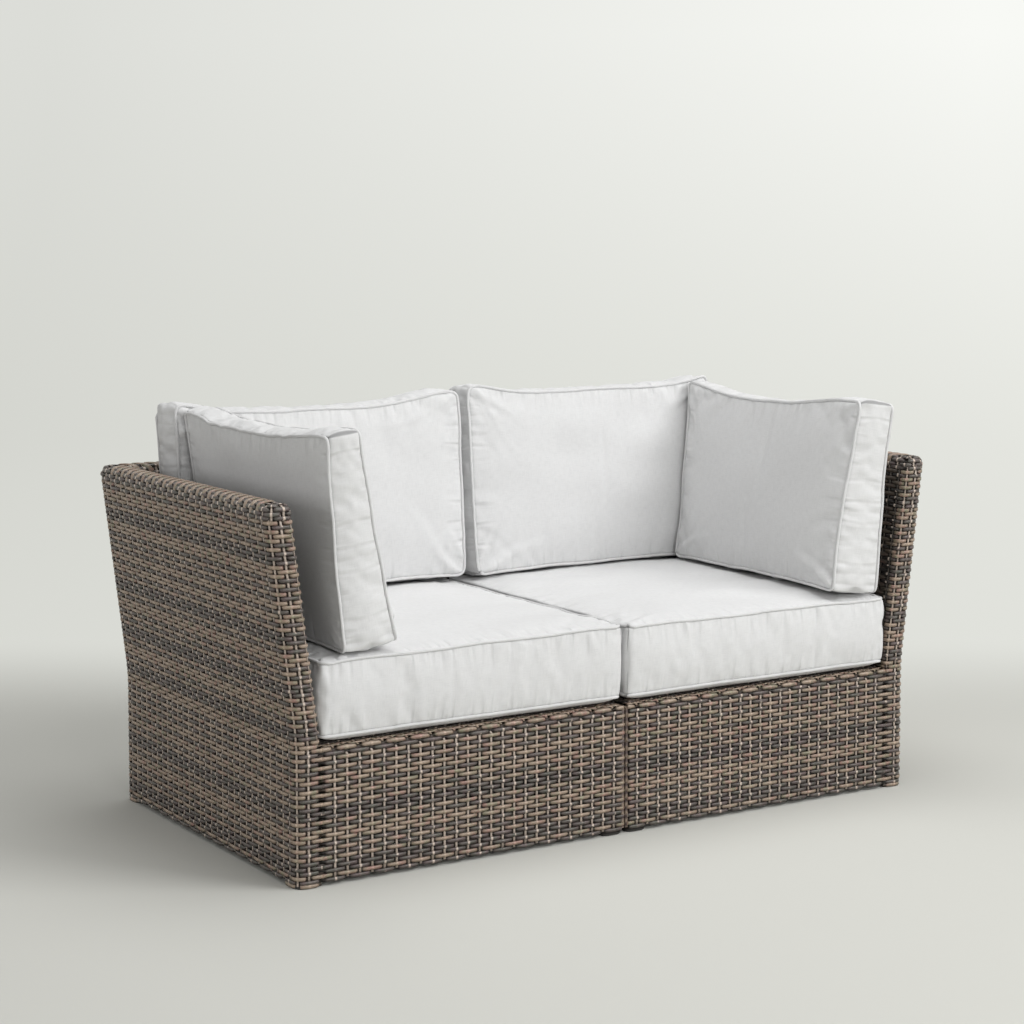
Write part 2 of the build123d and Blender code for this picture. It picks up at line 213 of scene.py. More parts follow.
def foldLines(add, fromSeam, alongSeam, kind):
    # Thin lines that run out from the seam, about a width apart, fading over a length
    width, length, softness = (canvasLook[kind + part] for part in ("Width", "Length", "Softness"))
    across = add("ShaderNodeMath", [alongSeam, width], operation="DIVIDE")
    away = add("ShaderNodeMath", [fromSeam, 8 * length], operation="DIVIDE")
    place = add("ShaderNodeCombineXYZ", {"X": across, "Y": away})
    noise = add("ShaderNodeTexNoise", {"Vector": place, "Scale": 1.0, "Detail": 0.0})
    line = add("ShaderNodeMath", [noise, 0.5], operation="SUBTRACT")
    line = add("ShaderNodeMath", [line], operation="ABSOLUTE")
    line = add("ShaderNodeMapRange", {"Value": line, "From Max": softness, "To Min": 1.0, "To Max": 0.0},
               interpolation_type="SMOOTHSTEP")
    fade = add("ShaderNodeMapRange", {
        "Value": fromSeam, "From Min": 0.001, "From Max": length, "To Min": 1.0, "To Max": 0.0},
        interpolation_type="SMOOTHSTEP")
    return add("ShaderNodeMath", [line, fade], operation="MULTIPLY")


def canvasMaterial(name, tint=1.0):
    material, tree, surface, add = newMaterial(
        name, Roughness=canvasLook["roughness"], IOR=1.45, Sheen_Weight=0.12,
        Sheen_Roughness=0.5, Specular_IOR_Level=0.25)
    cloth = add("ShaderNodeUVMap", uv_map="cloth")
    fromSeam, alongSeam = (add("ShaderNodeAttribute", attribute_name=fact).outputs["Fac"]
                           for fact in ("seamDistance", "seamPlace"))
    # Two thread directions, each with thick and thin slubs along it
    close = 1 / canvasLook["threadSpacing"]
    far = close / canvasLook["slubLength"]
    heights = []
    for stretch in ((far, close, 1.0), (close, far, 1.0)):
        mapped = add("ShaderNodeMapping", {"Vector": cloth, "Scale": stretch})
        heights.append(add("ShaderNodeTexNoise", {"Vector": mapped, "Scale": 1.0, "Detail": 2.0}))
    threads = add("ShaderNodeMath", heights, operation="ADD")
    mottle, groups = (
        add("ShaderNodeTexNoise", {"Vector": cloth, "Scale": 1 / canvasLook[size], "Detail": detail})
        for size, detail in (("slubSize", 3.0), ("puckerGroup", 1.0)))
    mix = add("ShaderNodeMapRange", {"Value": threads, "From Min": 0.7, "From Max": 1.3})
    mix = add("ShaderNodeMath", [mix, mottle], operation="MULTIPLY")
    pale, deep = ([c * tint for c in hexToLinear(canvasLook[key])[:3]] + [1.0]
                  for key in ("threadLight", "threadDark"))
    colour = add("ShaderNodeMix", {0: mix, 6: pale, 7: deep}, data_type="RGBA")
    # The stitched valley beside the piping stays in shade
    valley = add("ShaderNodeMapRange", {
        "Value": fromSeam, "From Min": 0.0008, "From Max": canvasLook["valleyWidth"],
        "To Min": canvasLook["valleyShade"]}, interpolation_type="SMOOTHSTEP")
    colour = add("ShaderNodeVectorMath", {0: colour, "Scale": valley}, operation="SCALE")
    # Short puckers in groups, and now and then a longer crease
    groups = add("ShaderNodeMapRange", {"Value": groups, "From Min": 0.44, "From Max": 0.60},
                 interpolation_type="SMOOTHSTEP")
    puckers = foldLines(add, fromSeam, alongSeam, "pucker")
    puckers = add("ShaderNodeMath", [puckers, groups], operation="MULTIPLY")
    creases = foldLines(add, fromSeam, alongSeam, "crease")
    depths = canvasLook["creaseDepth"] / canvasLook["puckerDepth"]
    folds = add("ShaderNodeMath", [creases, depths, puckers], operation="MULTIPLY_ADD")
    creased = add("ShaderNodeBump", {
        "Height": folds, "Strength": 1.0, "Distance": -canvasLook["puckerDepth"]})
    bump = add("ShaderNodeBump", {
        "Height": threads, "Strength": 0.35, "Distance": canvasLook["threadDepth"], "Normal": creased})
    fillInputs(tree, surface, {"Base Color": colour, "Normal": bump})
    return material


# Powder-coated aluminium tube: dark brown, baked, with a fine orange-peel skin.
# Moulded polypropylene: the glides and clips, near black, with a spark-eroded grain.
# Each has two close shades, drifting over the drift size, and a bump of the grain size.
plainLooks = {
    "powderCoatedTube": {
        "shades": ("#3A2F2B", "#463A35"), "driftSize": 1 / 12, "driftDetail": 3.0, "grainSize": 0.0016,
        "grainStrength": 0.3, "grainDepth": 0.0002, "roughness": 0.55, "ior": 1.5},
    "mouldedPolypropylene": {
        "shades": ("#242220", "#2E2B29"), "driftSize": 0.0008, "driftDetail": 2.0, "grainSize": 0.0008,
        "grainStrength": 0.25, "grainDepth": 0.0001, "roughness": 0.5, "ior": 1.49},
}


def plainMaterial(name):
    look = plainLooks[name]
    material, tree, surface, add = newMaterial(name, Roughness=look["roughness"], IOR=look["ior"])
    coords = add("ShaderNodeTexCoord").outputs["Object"]
    drift, grain = (
        add("ShaderNodeTexNoise", {"Vector": coords, "Scale": 1 / look[size], "Detail": detail})
        for size, detail in (("driftSize", look["driftDetail"]), ("grainSize", 2.0)))
    low, high = map(hexToLinear, look["shades"])
    colour = add("ShaderNodeMix", {0: drift, 6: low, 7: high}, data_type="RGBA")
    bump = add("ShaderNodeBump", {
        "Height": grain, "Strength": look["grainStrength"], "Distance": look["grainDepth"]})
    fillInputs(tree, surface, {"Base Color": colour, "Normal": bump})
    return material


def sheetMaterial():
    # The same strand as a pressed sheet, seen only inside the seam gap and behind the weave
    material, tree, surface, add = newMaterial("wovenSheetInShade", Roughness=0.6)
    rows = add("ShaderNodeTexWave", {
        "Vector": add("ShaderNodeTexCoord").outputs["Object"], "Scale": 20.0, "Distortion": 1.0},
        wave_type="BANDS", bands_direction="Z").outputs["Fac"]
    low, high = hexToLinear(strandLook["darkStrand"]), hexToLinear(strandLook["lightStrand"])
    colour = add("ShaderNodeMix", {0: rows, 6: low, 7: high}, data_type="RGBA")
    fillInputs(tree, surface, {"Base Color": colour})
    return material


strand = strandMaterial("polyethyleneWickerStrand")
# The same strand darkened to near black by painted shade, for the linings that face the cushions and stand in
# their shade
paintedShadeLiningStrand = strandMaterial("shadedLiningWickerStrand", strandLook["liningShade"])
canvas = canvasMaterial("spunOlefinCanvas")
pipingCanvas = canvasMaterial("biasCutPiping", canvasLook["pipingTint"])
tube = plainMaterial("powderCoatedTube")
moulded = plainMaterial("mouldedPolypropylene")
sheetInShade = sheetMaterial()
report("materials")

# The module's own sizes, in metres, as the solids have them
module = {
    "width": 0.705, "depth": 0.762, "wallTop": 0.685, "deck": 0.250, "thickness": 0.052,
    "seam": 0.002, "outerRadius": 0.020, "innerRadius": 0.012, "skin": 0.0057, "returnLength": 0.022,
    "flare": 0.052, "slope": 0.052 / 0.405, "bendStart": 0.232, "bendLength": 0.060, "capBottom": 0.667,
    "deckRoll": 0.008, "seamRadius": 0.005, "sharpRadius": 0.001, "skinBottom": 0.011,
}

# Rows lie flat on each other, and pass in turn over and behind thin upright stakes. Each row is
# lifted by up to the unevenness, and wobbles along its run by about as much.
weave = {
    "baseFirstRow": 0.0110, "baseTopRow": 0.2446, "wallTopRow": 0.6526, "rowsInBase": 30, "rowsInWall": 82,
    "stakeSpacing": 0.025, "firstStake": 0.001, "endClearance": 0.0015, "frontStakes": 26,
    "strandHeight": 0.0073, "strandThickness": 0.0022, "waveDepth": 0.0029,
    "diveStart": -0.55, "diveEnd": -0.95, "arch": 0.22, "stakeWidth": 0.0052, "stakeThickness": 0.0024,
    "unevenness": 0.00035, "wobbleLength": 1 / 9, "wobbleJump": 17.3,
    "capRoll": 0.016, "capRows": 5, "capRowShare": 0.93, "capStakes": (-0.012, 0.030),
    "footRow": 0.0043, "footRuns": ((0.0, 0.096), (-0.072, 0.028)), "rollRows": 7, "rollUnder": 0.038,
    "cornerReach": 0.022,
}

# Dark and light rows of the stripe, counted down from the top row: first the edge, then a repeat
stripe = {
    "edge": "LDLLLDLDDD",
    "repeat": "LLLDLDLDLLDLLDLDDDLDLLLDLDLDDDLDLLLDLDDD",
}


def rowIsDark(rows):
    # rows counted from the bottom row, 0
    fromTop = weave["rowsInWall"] - np.asarray(rows)
    edge, repeat = (np.array([c == "D" for c in stripe[part]]) for part in ("edge", "repeat"))
    inRepeat = repeat[(fromTop - len(edge) - 1) % len(repeat)]
    inEdge = edge[np.clip(fromTop - 1, 0, len(edge) - 1)]
    return np.where(fromTop <= 0, True, np.where(fromTop <= len(edge), inEdge, inRepeat))


def numberedTubes(add, given, number, first, count, sides, steps):
    # Copies of one tube on Z, each with a number and a chance lift of its own.
    # A point of a tube keeps its place on it: X and Y round it, and Z from -0.5 to 0.5 along it.
    pipe = add("GeometryNodeMeshCylinder", {
        "Vertices": given[sides], "Side Segments": given[steps], "Radius": 1.0, "Depth": 1.0})
    pipe = add("GeometryNodeStoreNamedAttribute", {
        "Geometry": pipe, "Name": "tubePlace", "Value": add("GeometryNodeInputPosition")},
        data_type="FLOAT_VECTOR", domain="POINT")
    points = add("GeometryNodeMeshLine", {"Count": given[count], "Offset": (0.0, 0.0, 0.0)})
    numbers = add("ShaderNodeMath", [add("GeometryNodeInputIndex"), given[first]], operation="ADD")
    lift = add("FunctionNodeRandomValue", {2: -1.0, 3: 1.0, "Seed": given["Seed"]}, data_type="FLOAT")
    for fact, value in ((number, numbers), ("strandLift", lift)):
        points = add("GeometryNodeStoreNamedAttribute", {
            "Geometry": points, "Name": fact, "Value": value}, data_type="FLOAT", domain="POINT")
    copies = add("GeometryNodeInstanceOnPoints", {"Points": points, "Instance": pipe})
    return add("GeometryNodeRealizeInstances", {"Geometry": copies})


def rowStrands(add, given, place, share):
    row, lift = (add("GeometryNodeInputNamedAttribute", {"Name": fact}, data_type="FLOAT")
                 for fact in ("strandRow", "strandLift"))
    # A row's run, and its phase: whole at each stake, even in front of it and odd behind it
    length = add("ShaderNodeMath", [given["End"], given["Start"]], operation="SUBTRACT")
    run = add("ShaderNodeMath", [share, length, given["Start"]], operation="MULTIPLY_ADD")
    phase = add("ShaderNodeMath", [run, given["Stake Offset"]], operation="SUBTRACT")
    phase = add("ShaderNodeMath", [phase, given["Stake Spacing"]], operation="DIVIDE")
    phase = add("ShaderNodeMath", [phase, row], operation="ADD")
    phase = add("ShaderNodeMath", [phase, 1.0], operation="ADD")
    # Cross sections are drawn together where the strand dives, but not at its ends
    ends = []
    for fromEnd in (share, add("ShaderNodeMath", [1.0, share], operation="SUBTRACT")):
        near = add("ShaderNodeMath", [fromEnd, 40.0], operation="MULTIPLY")
        ends.append(add("ShaderNodeMath", [near, 1.0], operation="MINIMUM"))
    inside = add("ShaderNodeMath", ends, operation="MULTIPLY")
    gather = add("ShaderNodeMath", [phase, math.pi], operation="MULTIPLY")
    gather = add("ShaderNodeMath", [gather], operation="SINE")
    gather = add("ShaderNodeMath", [gather, 0.5 / math.pi], operation="MULTIPLY")
    gather = add("ShaderNodeMath", [gather, inside], operation="MULTIPLY")
    run = add("ShaderNodeMath", [gather, given["Stake Spacing"], run], operation="MULTIPLY_ADD")
    phase = add("ShaderNodeMath", [phase, gather], operation="ADD")

    # Depth: long crests over the stakes and short dives behind them, slightly arched
    turn = add("ShaderNodeMath", [phase, math.pi], operation="MULTIPLY")
    swing = add("ShaderNodeMath", [turn], operation="COSINE")
    step = add("ShaderNodeMapRange", {
        "Value": swing, "From Min": weave["diveEnd"], "From Max": weave["diveStart"], "To Min": -1.0,
        "To Max": 1.0}, interpolation_type="SMOOTHSTEP")
    wave = add("ShaderNodeMath", [swing, weave["arch"]], operation="MULTIPLY")
    wave = add("ShaderNodeMath", [step, 1.0 - weave["arch"], wave], operation="MULTIPLY_ADD")
    thick = add("ShaderNodeMath", [given["Strand Thickness"], 0.5], operation="MULTIPLY")
    thick = add("ShaderNodeMath", [place["X"], thick], operation="MULTIPLY")
    depth = add("ShaderNodeMath", [wave, given["Wave Depth"], thick], operation="MULTIPLY_ADD")

    # Height: the row's own, a drift along it, and the strand's half height
    wobble = add("ShaderNodeMath", [run, 1 / weave["wobbleLength"]], operation="MULTIPLY")
    wobble = add("ShaderNodeMath", [row, weave["wobbleJump"], wobble], operation="MULTIPLY_ADD")
    wobble = add("ShaderNodeTexNoise", {"W": wobble, "Scale": 1.0, "Detail": 2.0}, noise_dimensions="1D")
    drift = add("ShaderNodeMath", [wobble, 4.0, -2.0], operation="MULTIPLY_ADD")
    drift = add("ShaderNodeMath", [lift, drift], operation="ADD")
    number = add("ShaderNodeMath", [row, given["First Row"]], operation="SUBTRACT")
    height = add("ShaderNodeMath", [number, given["Row Pitch"], given["First Height"]],
                 operation="MULTIPLY_ADD")
    height = add("ShaderNodeMath", [drift, given["Unevenness"], height], operation="MULTIPLY_ADD")
    tall = add("ShaderNodeMath", [given["Strand Height"], -0.5], operation="MULTIPLY")
    height = add("ShaderNodeMath", [place["Y"], tall, height], operation="MULTIPLY_ADD")

    tubes = numberedTubes(add, given, "strandRow", "First Row", "Rows", "Row Sides", "Row Steps")
    tubes = add("GeometryNodeStoreNamedAttribute", {
        "Geometry": tubes, "Name": "strandPhase", "Value": phase}, data_type="FLOAT", domain="POINT")
    return add("GeometryNodeSetPosition", {
        "Geometry": tubes, "Position": add("ShaderNodeCombineXYZ", [run, height, depth])})


def stakeStrands(add, given, place, share):
    # The same tube, stood up
    stake = add("GeometryNodeInputNamedAttribute", {"Name": "strandStake"}, data_type="FLOAT")
    rise = add("ShaderNodeMath", [given["Stake Top"], given["Stake Bottom"]], operation="SUBTRACT")
    climb = add("ShaderNodeMath", [share, rise, given["Stake Bottom"]], operation="MULTIPLY_ADD")
    across = add("ShaderNodeMath", [stake, given["Stake Spacing"], given["Stake Offset"]],
                 operation="MULTIPLY_ADD")
    across = add("ShaderNodeMath", [share, given["Stake Skew"], across], operation="MULTIPLY_ADD")
    wide = add("ShaderNodeMath", [given["Stake Width"], 0.5], operation="MULTIPLY")
    across = add("ShaderNodeMath", [place["X"], wide, across], operation="MULTIPLY_ADD")
    deep = add("ShaderNodeMath", [given["Stake Thickness"], 0.5], operation="MULTIPLY")
    deep = add("ShaderNodeMath", [place["Y"], deep], operation="MULTIPLY")
    tubes = numberedTubes(add, given, "strandStake", "First Stake", "Stakes", "Stake Sides", "Stake Steps")
    tubes = add("GeometryNodeSetPosition", {
        "Geometry": tubes, "Position": add("ShaderNodeCombineXYZ", [across, climb, deep])})
    return add("GeometryNodeStoreNamedAttribute", {
        "Geometry": tubes, "Name": "isStake", "Value": 1.0}, data_type="FLOAT", domain="POINT")


def wovenMatTree():
    # A flat mat: X along the rows, Y up the rows, Z out of the mat.
    # Rows are numbered from First Row, and stakes from the first one past Start.
    tree = bpy.data.node_groups.new("wovenMat", "GeometryNodeTree")
    add = partial(addNode, tree)
    for way in ("INPUT", "OUTPUT"):
        tree.interface.new_socket(name="Geometry", in_out=way, socket_type="NodeSocketGeometry")
    sizes = {
        "Start": 0.0, "End": 1.0, "Row Pitch": 0.008, "First Height": 0.0,
        "Stake Spacing": weave["stakeSpacing"], "Stake Offset": weave["firstStake"],
        "Strand Height": weave["strandHeight"], "Strand Thickness": weave["strandThickness"],
        "Wave Depth": weave["waveDepth"], "Unevenness": weave["unevenness"],
        "Stake Bottom": 0.0, "Stake Top": 1.0, "First Stake": 0.0, "Stake Width": weave["stakeWidth"],
        "Stake Thickness": weave["stakeThickness"], "Stake Skew": 0.0,
        "Rows": 1, "First Row": 0, "Row Steps": 10, "Row Sides": 5, "Stakes": 1, "Stake Steps": 10,
        "Stake Sides": 6, "Seed": 0,
    }
    for name, value in sizes.items():
        kind = "NodeSocketInt" if isinstance(value, int) else "NodeSocketFloat"
        tree.interface.new_socket(name=name, in_out="INPUT", socket_type=kind).default_value = value
    tree.interface.new_socket(name="Material", in_out="INPUT", socket_type="NodeSocketMaterial")
    given = add("NodeGroupInput").outputs

    place = add("GeometryNodeInputNamedAttribute", {"Name": "tubePlace"}, data_type="FLOAT_VECTOR")
    place = add("ShaderNodeSeparateXYZ", [place]).outputs
    share = add("ShaderNodeMath", [place["Z"], 0.5], operation="ADD")

    whole = add("GeometryNodeJoinGeometry", [rowStrands(add, given, place, share)])
    fillInputs(tree, whole, [stakeStrands(add, given, place, share)])
    whole = add("GeometryNodeRealizeInstances", {"Geometry": whole})
    whole = add("GeometryNodeSetMaterial", {"Geometry": whole, "Material": given["Material"]})
    add("NodeGroupOutput", {"Geometry": whole})
    return tree


matTree = wovenMatTree()
matSockets = {s.name: s.identifier for s in matTree.interface.items_tree
              if s.item_type == "SOCKET" and s.in_out == "INPUT"}


def weaveMat(**values):
    # The flat mat's points, faces and strand facts, with the modifier already turned into mesh
    holder = meshObject("matHolder", [(0, 0, 0)], [])
    modifier = holder.modifiers.new("weave", "NODES")
    modifier.node_group = matTree
    modifier[matSockets["Material"]] = strand
    for name, value in values.items():
        modifier[matSockets[name.replace("_", " ")]] = value
    bpy.context.view_layer.update()
    evaluated = holder.evaluated_get(bpy.context.evaluated_depsgraph_get())
    mesh = bpy.data.meshes.new_from_object(evaluated)
    mat = {"points": getPoints(mesh)}
    for name in ("strandRow", "isStake", "strandPhase"):
        mat[name] = np.zeros(len(mesh.vertices))
        if name in mesh.attributes:
            mesh.attributes[name].data.foreach_get("value", mat[name])
    mat["counts"], mat["corners"] = np.zeros(len(mesh.polygons), int), np.zeros(len(mesh.loops), int)
    mesh.polygons.foreach_get("loop_total", mat["counts"])
    mesh.loops.foreach_get("vertex_index", mat["corners"])
    bpy.data.objects.remove(holder)
    bpy.data.meshes.remove(mesh)
    return mat


def matFor(start, end, firstRow, rows, firstHeight, pitch, stakeBottom, stakeTop, steps=5, **values):
    # A mat between two places along a path, with whole stakes where they fall on it
    spacing = values.get("Stake_Spacing", weave["stakeSpacing"])
    offset = values.get("Stake_Offset", weave["firstStake"])
    low = math.ceil((start + weave["endClearance"] - offset) / spacing)
    high = math.floor((end - weave["endClearance"] - offset) / spacing)
    return weaveMat(Start=start, End=end, First_Row=firstRow, Rows=rows, First_Height=firstHeight,
                    Row_Pitch=pitch, Row_Steps=max(2, round((end - start) / spacing * steps)),
                    First_Stake=float(low), Stakes=max(0, high - low + 1), Stake_Bottom=stakeBottom,
                    Stake_Top=stakeTop, **values)


def leanAt(height):
    # How far the side wall has moved outward at this height
    past = np.clip(height - module["bendStart"], 0, module["bendLength"])
    beyond = np.maximum(height - module["bendStart"] - module["bendLength"], 0)
    beyond = np.minimum(beyond, module["capBottom"] - module["bendStart"] - module["bendLength"])
    return module["slope"] * (past ** 2 / (2 * module["bendLength"]) + beyond)


def roundedPath(corners, radii, closed=False):
    # Points along a plan path with rounded corners, their left normals and run
    corners = [np.array(c, float) for c in corners]
    points, normals = [], []
    count = len(corners)
    for i, corner in enumerate(corners):
        if not closed and i in (0, count - 1):
            way = corners[1] - corners[0] if i == 0 else corners[-1] - corners[-2]
            way = way / np.linalg.norm(way)
            points.append(corner)
            normals.append(np.array([way[1], -way[0]]))
            continue
        before = corner - corners[i - 1]
        after = corners[(i + 1) % count] - corner
        before, after = before / np.linalg.norm(before), after / np.linalg.norm(after)
        turn = np.sign(before[0] * after[1] - before[1] * after[0])
        centre = corner - before * radii[i] + turn * radii[i] * np.array([-before[1], before[0]])
        startX, startY = before[1], -before[0]
        for angle in turn * np.linspace(0, 1, 9) * math.pi / 2:
            normal = np.array([startX * math.cos(angle) - startY * math.sin(angle),
                               startX * math.sin(angle) + startY * math.cos(angle)])
            points.append(centre + turn * radii[i] * normal)
            normals.append(normal)
    if closed:
        points.append(points[0])
        normals.append(normals[0])
    points, normals = np.array(points), np.array(normals)
    run = np.concatenate([[0], np.cumsum(np.linalg.norm(np.diff(points, axis=0), axis=1))])
    return {"points": points, "normals": normals, "run": run}


def wrapOnWall(mat, path, runOffset, rollStart=10.0, rollRadius=0.010, flat=10.0, leans=None):
    # Bends the flat mat onto a wall: along the plan path, up, over a rolled top and down again.
    # Roll start and flat are past every mat where there is no roll.
    run = mat["points"][:, 0] - runOffset
    height, depth = mat["points"][:, 1], mat["points"][:, 2]
    base, normal = (np.stack([np.interp(run, path["run"], path[part][:, i]) for i in (0, 1)], 1)
                    for part in ("points", "normals"))
    normal /= np.linalg.norm(normal, axis=1)[:, None]
    # Past the ends of the path the mat goes straight on
    for end, sign in ((0, -1), (-1, 1)):
        over = np.maximum(sign * (run - path["run"][end]), 0)
        way = np.array([-path["normals"][end][1], path["normals"][end][0]]) * sign
        base += over[:, None] * way
    middle = rollRadius - halfWeave
    quarter = middle * math.pi / 2
    first = np.clip((height - rollStart) / middle, 0, math.pi / 2)
    level = np.clip(height - rollStart - quarter, 0, flat)
    second = np.clip((height - rollStart - quarter - flat) / middle, 0, math.pi / 2)
    down = np.maximum(height - rollStart - 2 * quarter - flat, 0)
    inward = halfWeave + middle * (1 - np.cos(first)) + level + middle * np.sin(second)
    up = np.minimum(height, rollStart) + middle * np.sin(first) - middle * (1 - np.cos(second)) - down
    outTurn = np.where(second > 0, -np.sin(second), np.cos(first))
    upTurn = np.where(second > 0, np.cos(second), np.sin(first))
    points = np.column_stack([base - normal * (inward - depth * outTurn)[:, None], up + depth * upTurn])
    if leans:
        low, high = leans
        share = np.clip((points[:, 0] - low) / (high - low), 0, 1) if high > low else np.ones(len(points))
        points[:, 0] += share * leanAt(points[:, 2])
    mat["points"] = points
    return mat


def wovenPiece(name, mats, nodeNames, mirrored=False, material=strand):
    # Joins wrapped mats into one mesh, with a tone for each strand, and lets it stand for its nodes
    points = np.concatenate([m["points"] for m in mats])
    if mirrored:
        points = points * (-1, 1, 1)
    faces, tones, phases, shift = [], [], [], 0
    for m in mats:
        ends = np.cumsum(m["counts"])
        corners = m["corners"] + shift
        for start, end in zip(np.concatenate([[0], ends[:-1]]), ends):
            loop = corners[start:end].tolist()
            faces.append(loop[::-1] if mirrored else loop)
        shift += len(m["points"])
        isStake = m["isStake"] > 0.5
        rowTone = np.where(rowIsDark(np.round(m["strandRow"]).astype(int)), 1.0, 0.0)
        tones.append(np.where(isStake, m.get("stakeTone", -0.5), m.get("rowTone", rowTone)))
        # Halfway down a crest, an upright stake gets neither painted highlight nor painted shade
        phases.append(np.where(isStake, 0.5, m["strandPhase"]))
    obj = meshObject(name, points, faces, material)
    addFact(obj.data, "strandTone", np.concatenate(tones))
    addFact(obj.data, "strandPhase", np.concatenate(phases))
    if nodeNames:
        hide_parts(*nodeNames)
    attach(obj, "frame")


modules = (("right", False), ("left", True))


def madeTwice(name, mats, nodeNames, material=strand):
    for side, mirrored in modules:
        wovenPiece(f"{side}_{name}", mats, [f"{side}_{node}" for node in nodeNames], mirrored, material)


width, depth, thick, seam = module["width"], module["depth"], module["thickness"], module["seam"]
outerRadius, innerRadius, returnLength = module["outerRadius"], module["innerRadius"], module["returnLength"]
front, back = -depth / 2, depth / 2
innerSide, innerBack = width - thick, back - thick
halfWeave = weave["waveDepth"] + weave["strandThickness"] / 2
rowsInBase, wallRows = weave["rowsInBase"], weave["rowsInWall"] - weave["rowsInBase"]
basePitch = (weave["baseTopRow"] - weave["baseFirstRow"]) / (rowsInBase - 1)
wallPitch = (weave["wallTopRow"] - weave["baseTopRow"]) / wallRows
baseMat = (0, rowsInBase, weave["baseFirstRow"], basePitch, module["skinBottom"], module["deck"])
wallMat = (rowsInBase, wallRows, weave["baseTopRow"] + wallPitch, wallPitch, module["deck"],
           module["capBottom"])

# From the arm's inner side, round its front end, along the side and the back, round the seam end.
# Run 0 is the arm's inner front corner, as if it were square.
wallPath = roundedPath(
    [(innerSide, front + returnLength), (innerSide, front), (width, front), (width, back), (seam, back),
     (seam, innerBack), (seam + returnLength, innerBack)],
    [0, innerRadius, outerRadius, outerRadius, innerRadius, innerRadius, 0])
wallRunOffset = -(returnLength - innerRadius) + innerRadius - innerRadius * math.pi / 2
basePath = roundedPath(
    [(innerSide, front), (width, front), (width, back), (seam, back), (seam, innerBack + module["skin"])],
    [0, outerRadius, outerRadius, innerRadius, 0])
sideEnd = thick + depth - 2 * (2 - math.pi / 2) * outerRadius + weave["cornerReach"]
backEnd = float(basePath["run"][-1])
wallEnd = float(wallPath["run"][-1]) + wallRunOffset
# The side leans as a whole, and the back widens from the seam to its outer corner
sideLean = (-1.0, -1.0)
backLean = (seam, width - outerRadius)

sideBase = wrapOnWall(matFor(0.0, sideEnd, *baseMat, Seed=1), basePath, 0.0, leans=sideLean)
sideWall = wrapOnWall(matFor(wallRunOffset, sideEnd, *wallMat, Seed=2), wallPath, wallRunOffset,
                      leans=sideLean)
# Under the bottom row, one more row runs round each outer foot
feet = []
for footSeed, (start, end), corner in zip((13, 14), weave["footRuns"], (0.0, sideEnd)):
    foot = matFor(corner + start, corner + end, 0, 1, weave["footRow"], basePitch, weave["footRow"],
                  module["skinBottom"], Seed=footSeed)
    foot["rowTone"] = 0.0
    feet.append(wrapOnWall(foot, basePath, 0.0))
madeTwice("side_weave", [sideBase, sideWall, *feet], ["side_panel"])

backBase = wrapOnWall(matFor(sideEnd, backEnd, *baseMat, Seed=3), basePath, 0.0, leans=backLean)
backWall = wrapOnWall(matFor(sideEnd, wallEnd, *wallMat, Seed=4), wallPath, wallRunOffset, leans=backLean)
madeTwice("back_weave", [backBase, backWall], ["back_panel"])

# Inner linings, carried on from the arm's return and from the seam end
sideLining = roundedPath([(innerSide, innerBack), (innerSide, front + returnLength)], [0, 0])
liningStart = wallRunOffset - float(sideLining["run"][-1])
liningMat = matFor(liningStart, wallRunOffset, *wallMat, steps=4, Seed=5)
madeTwice("side_lining_weave", [wrapOnWall(liningMat, sideLining, liningStart, leans=sideLean)],
          ["side_lining"], paintedShadeLiningStrand)
backLining = roundedPath([(seam + returnLength, innerBack), (innerSide + module["skin"], innerBack)], [0, 0])
liningMat = matFor(wallEnd, wallEnd + float(backLining["run"][-1]), *wallMat, steps=4, Seed=6)
madeTwice("back_lining_weave", [wrapOnWall(liningMat, backLining, wallEnd, leans=(seam, innerSide))],
          ["back_lining"], paintedShadeLiningStrand)
report("wall weave")

# Front skin: upright rows that roll over the deck rail and run in under the cushion
frontLength = innerSide - seam
frontSpacing = (frontLength - weave["firstStake"]) / weave["frontStakes"]
frontPath = roundedPath([(seam, innerBack), (seam, front), (innerSide, front)], [0, module["seamRadius"], 0])
frontRunStart = float(frontPath["run"][-1]) - frontLength
frontMat = matFor(
    0.0, frontLength, 0, rowsInBase + weave["rollRows"], weave["baseFirstRow"], basePitch,
    module["skinBottom"], module["deck"] + weave["rollUnder"], Seed=7, Stake_Spacing=frontSpacing,
    Stake_Offset=frontLength - weave["firstStake"] - weave["frontStakes"] * frontSpacing)
frontMat = wrapOnWall(frontMat, frontPath, -frontRunStart, rollStart=module["deck"] - module["deckRoll"],
                      rollRadius=module["deckRoll"])
madeTwice("front_weave", [frontMat], ["front_panel"])

# Deck: a flat mat from the front skin to the back wall, its rows side by side across the deck
deckRows = int((innerBack + module["skin"] - (front + thick)) / basePitch)
deckMat = matFor(seam, innerSide + module["skin"], 0, deckRows, 0.0, basePitch, 0.0, deckRows * basePitch,
                 steps=3, Seed=8)
across, along, out = deckMat["points"].T
deckMat["points"] = np.column_stack([
    across, front + thick + basePitch / 2 + along, module["deck"] - halfWeave + out])
madeTwice("deck_weave", [deckMat], ["deck_panel"])
report("base weave")

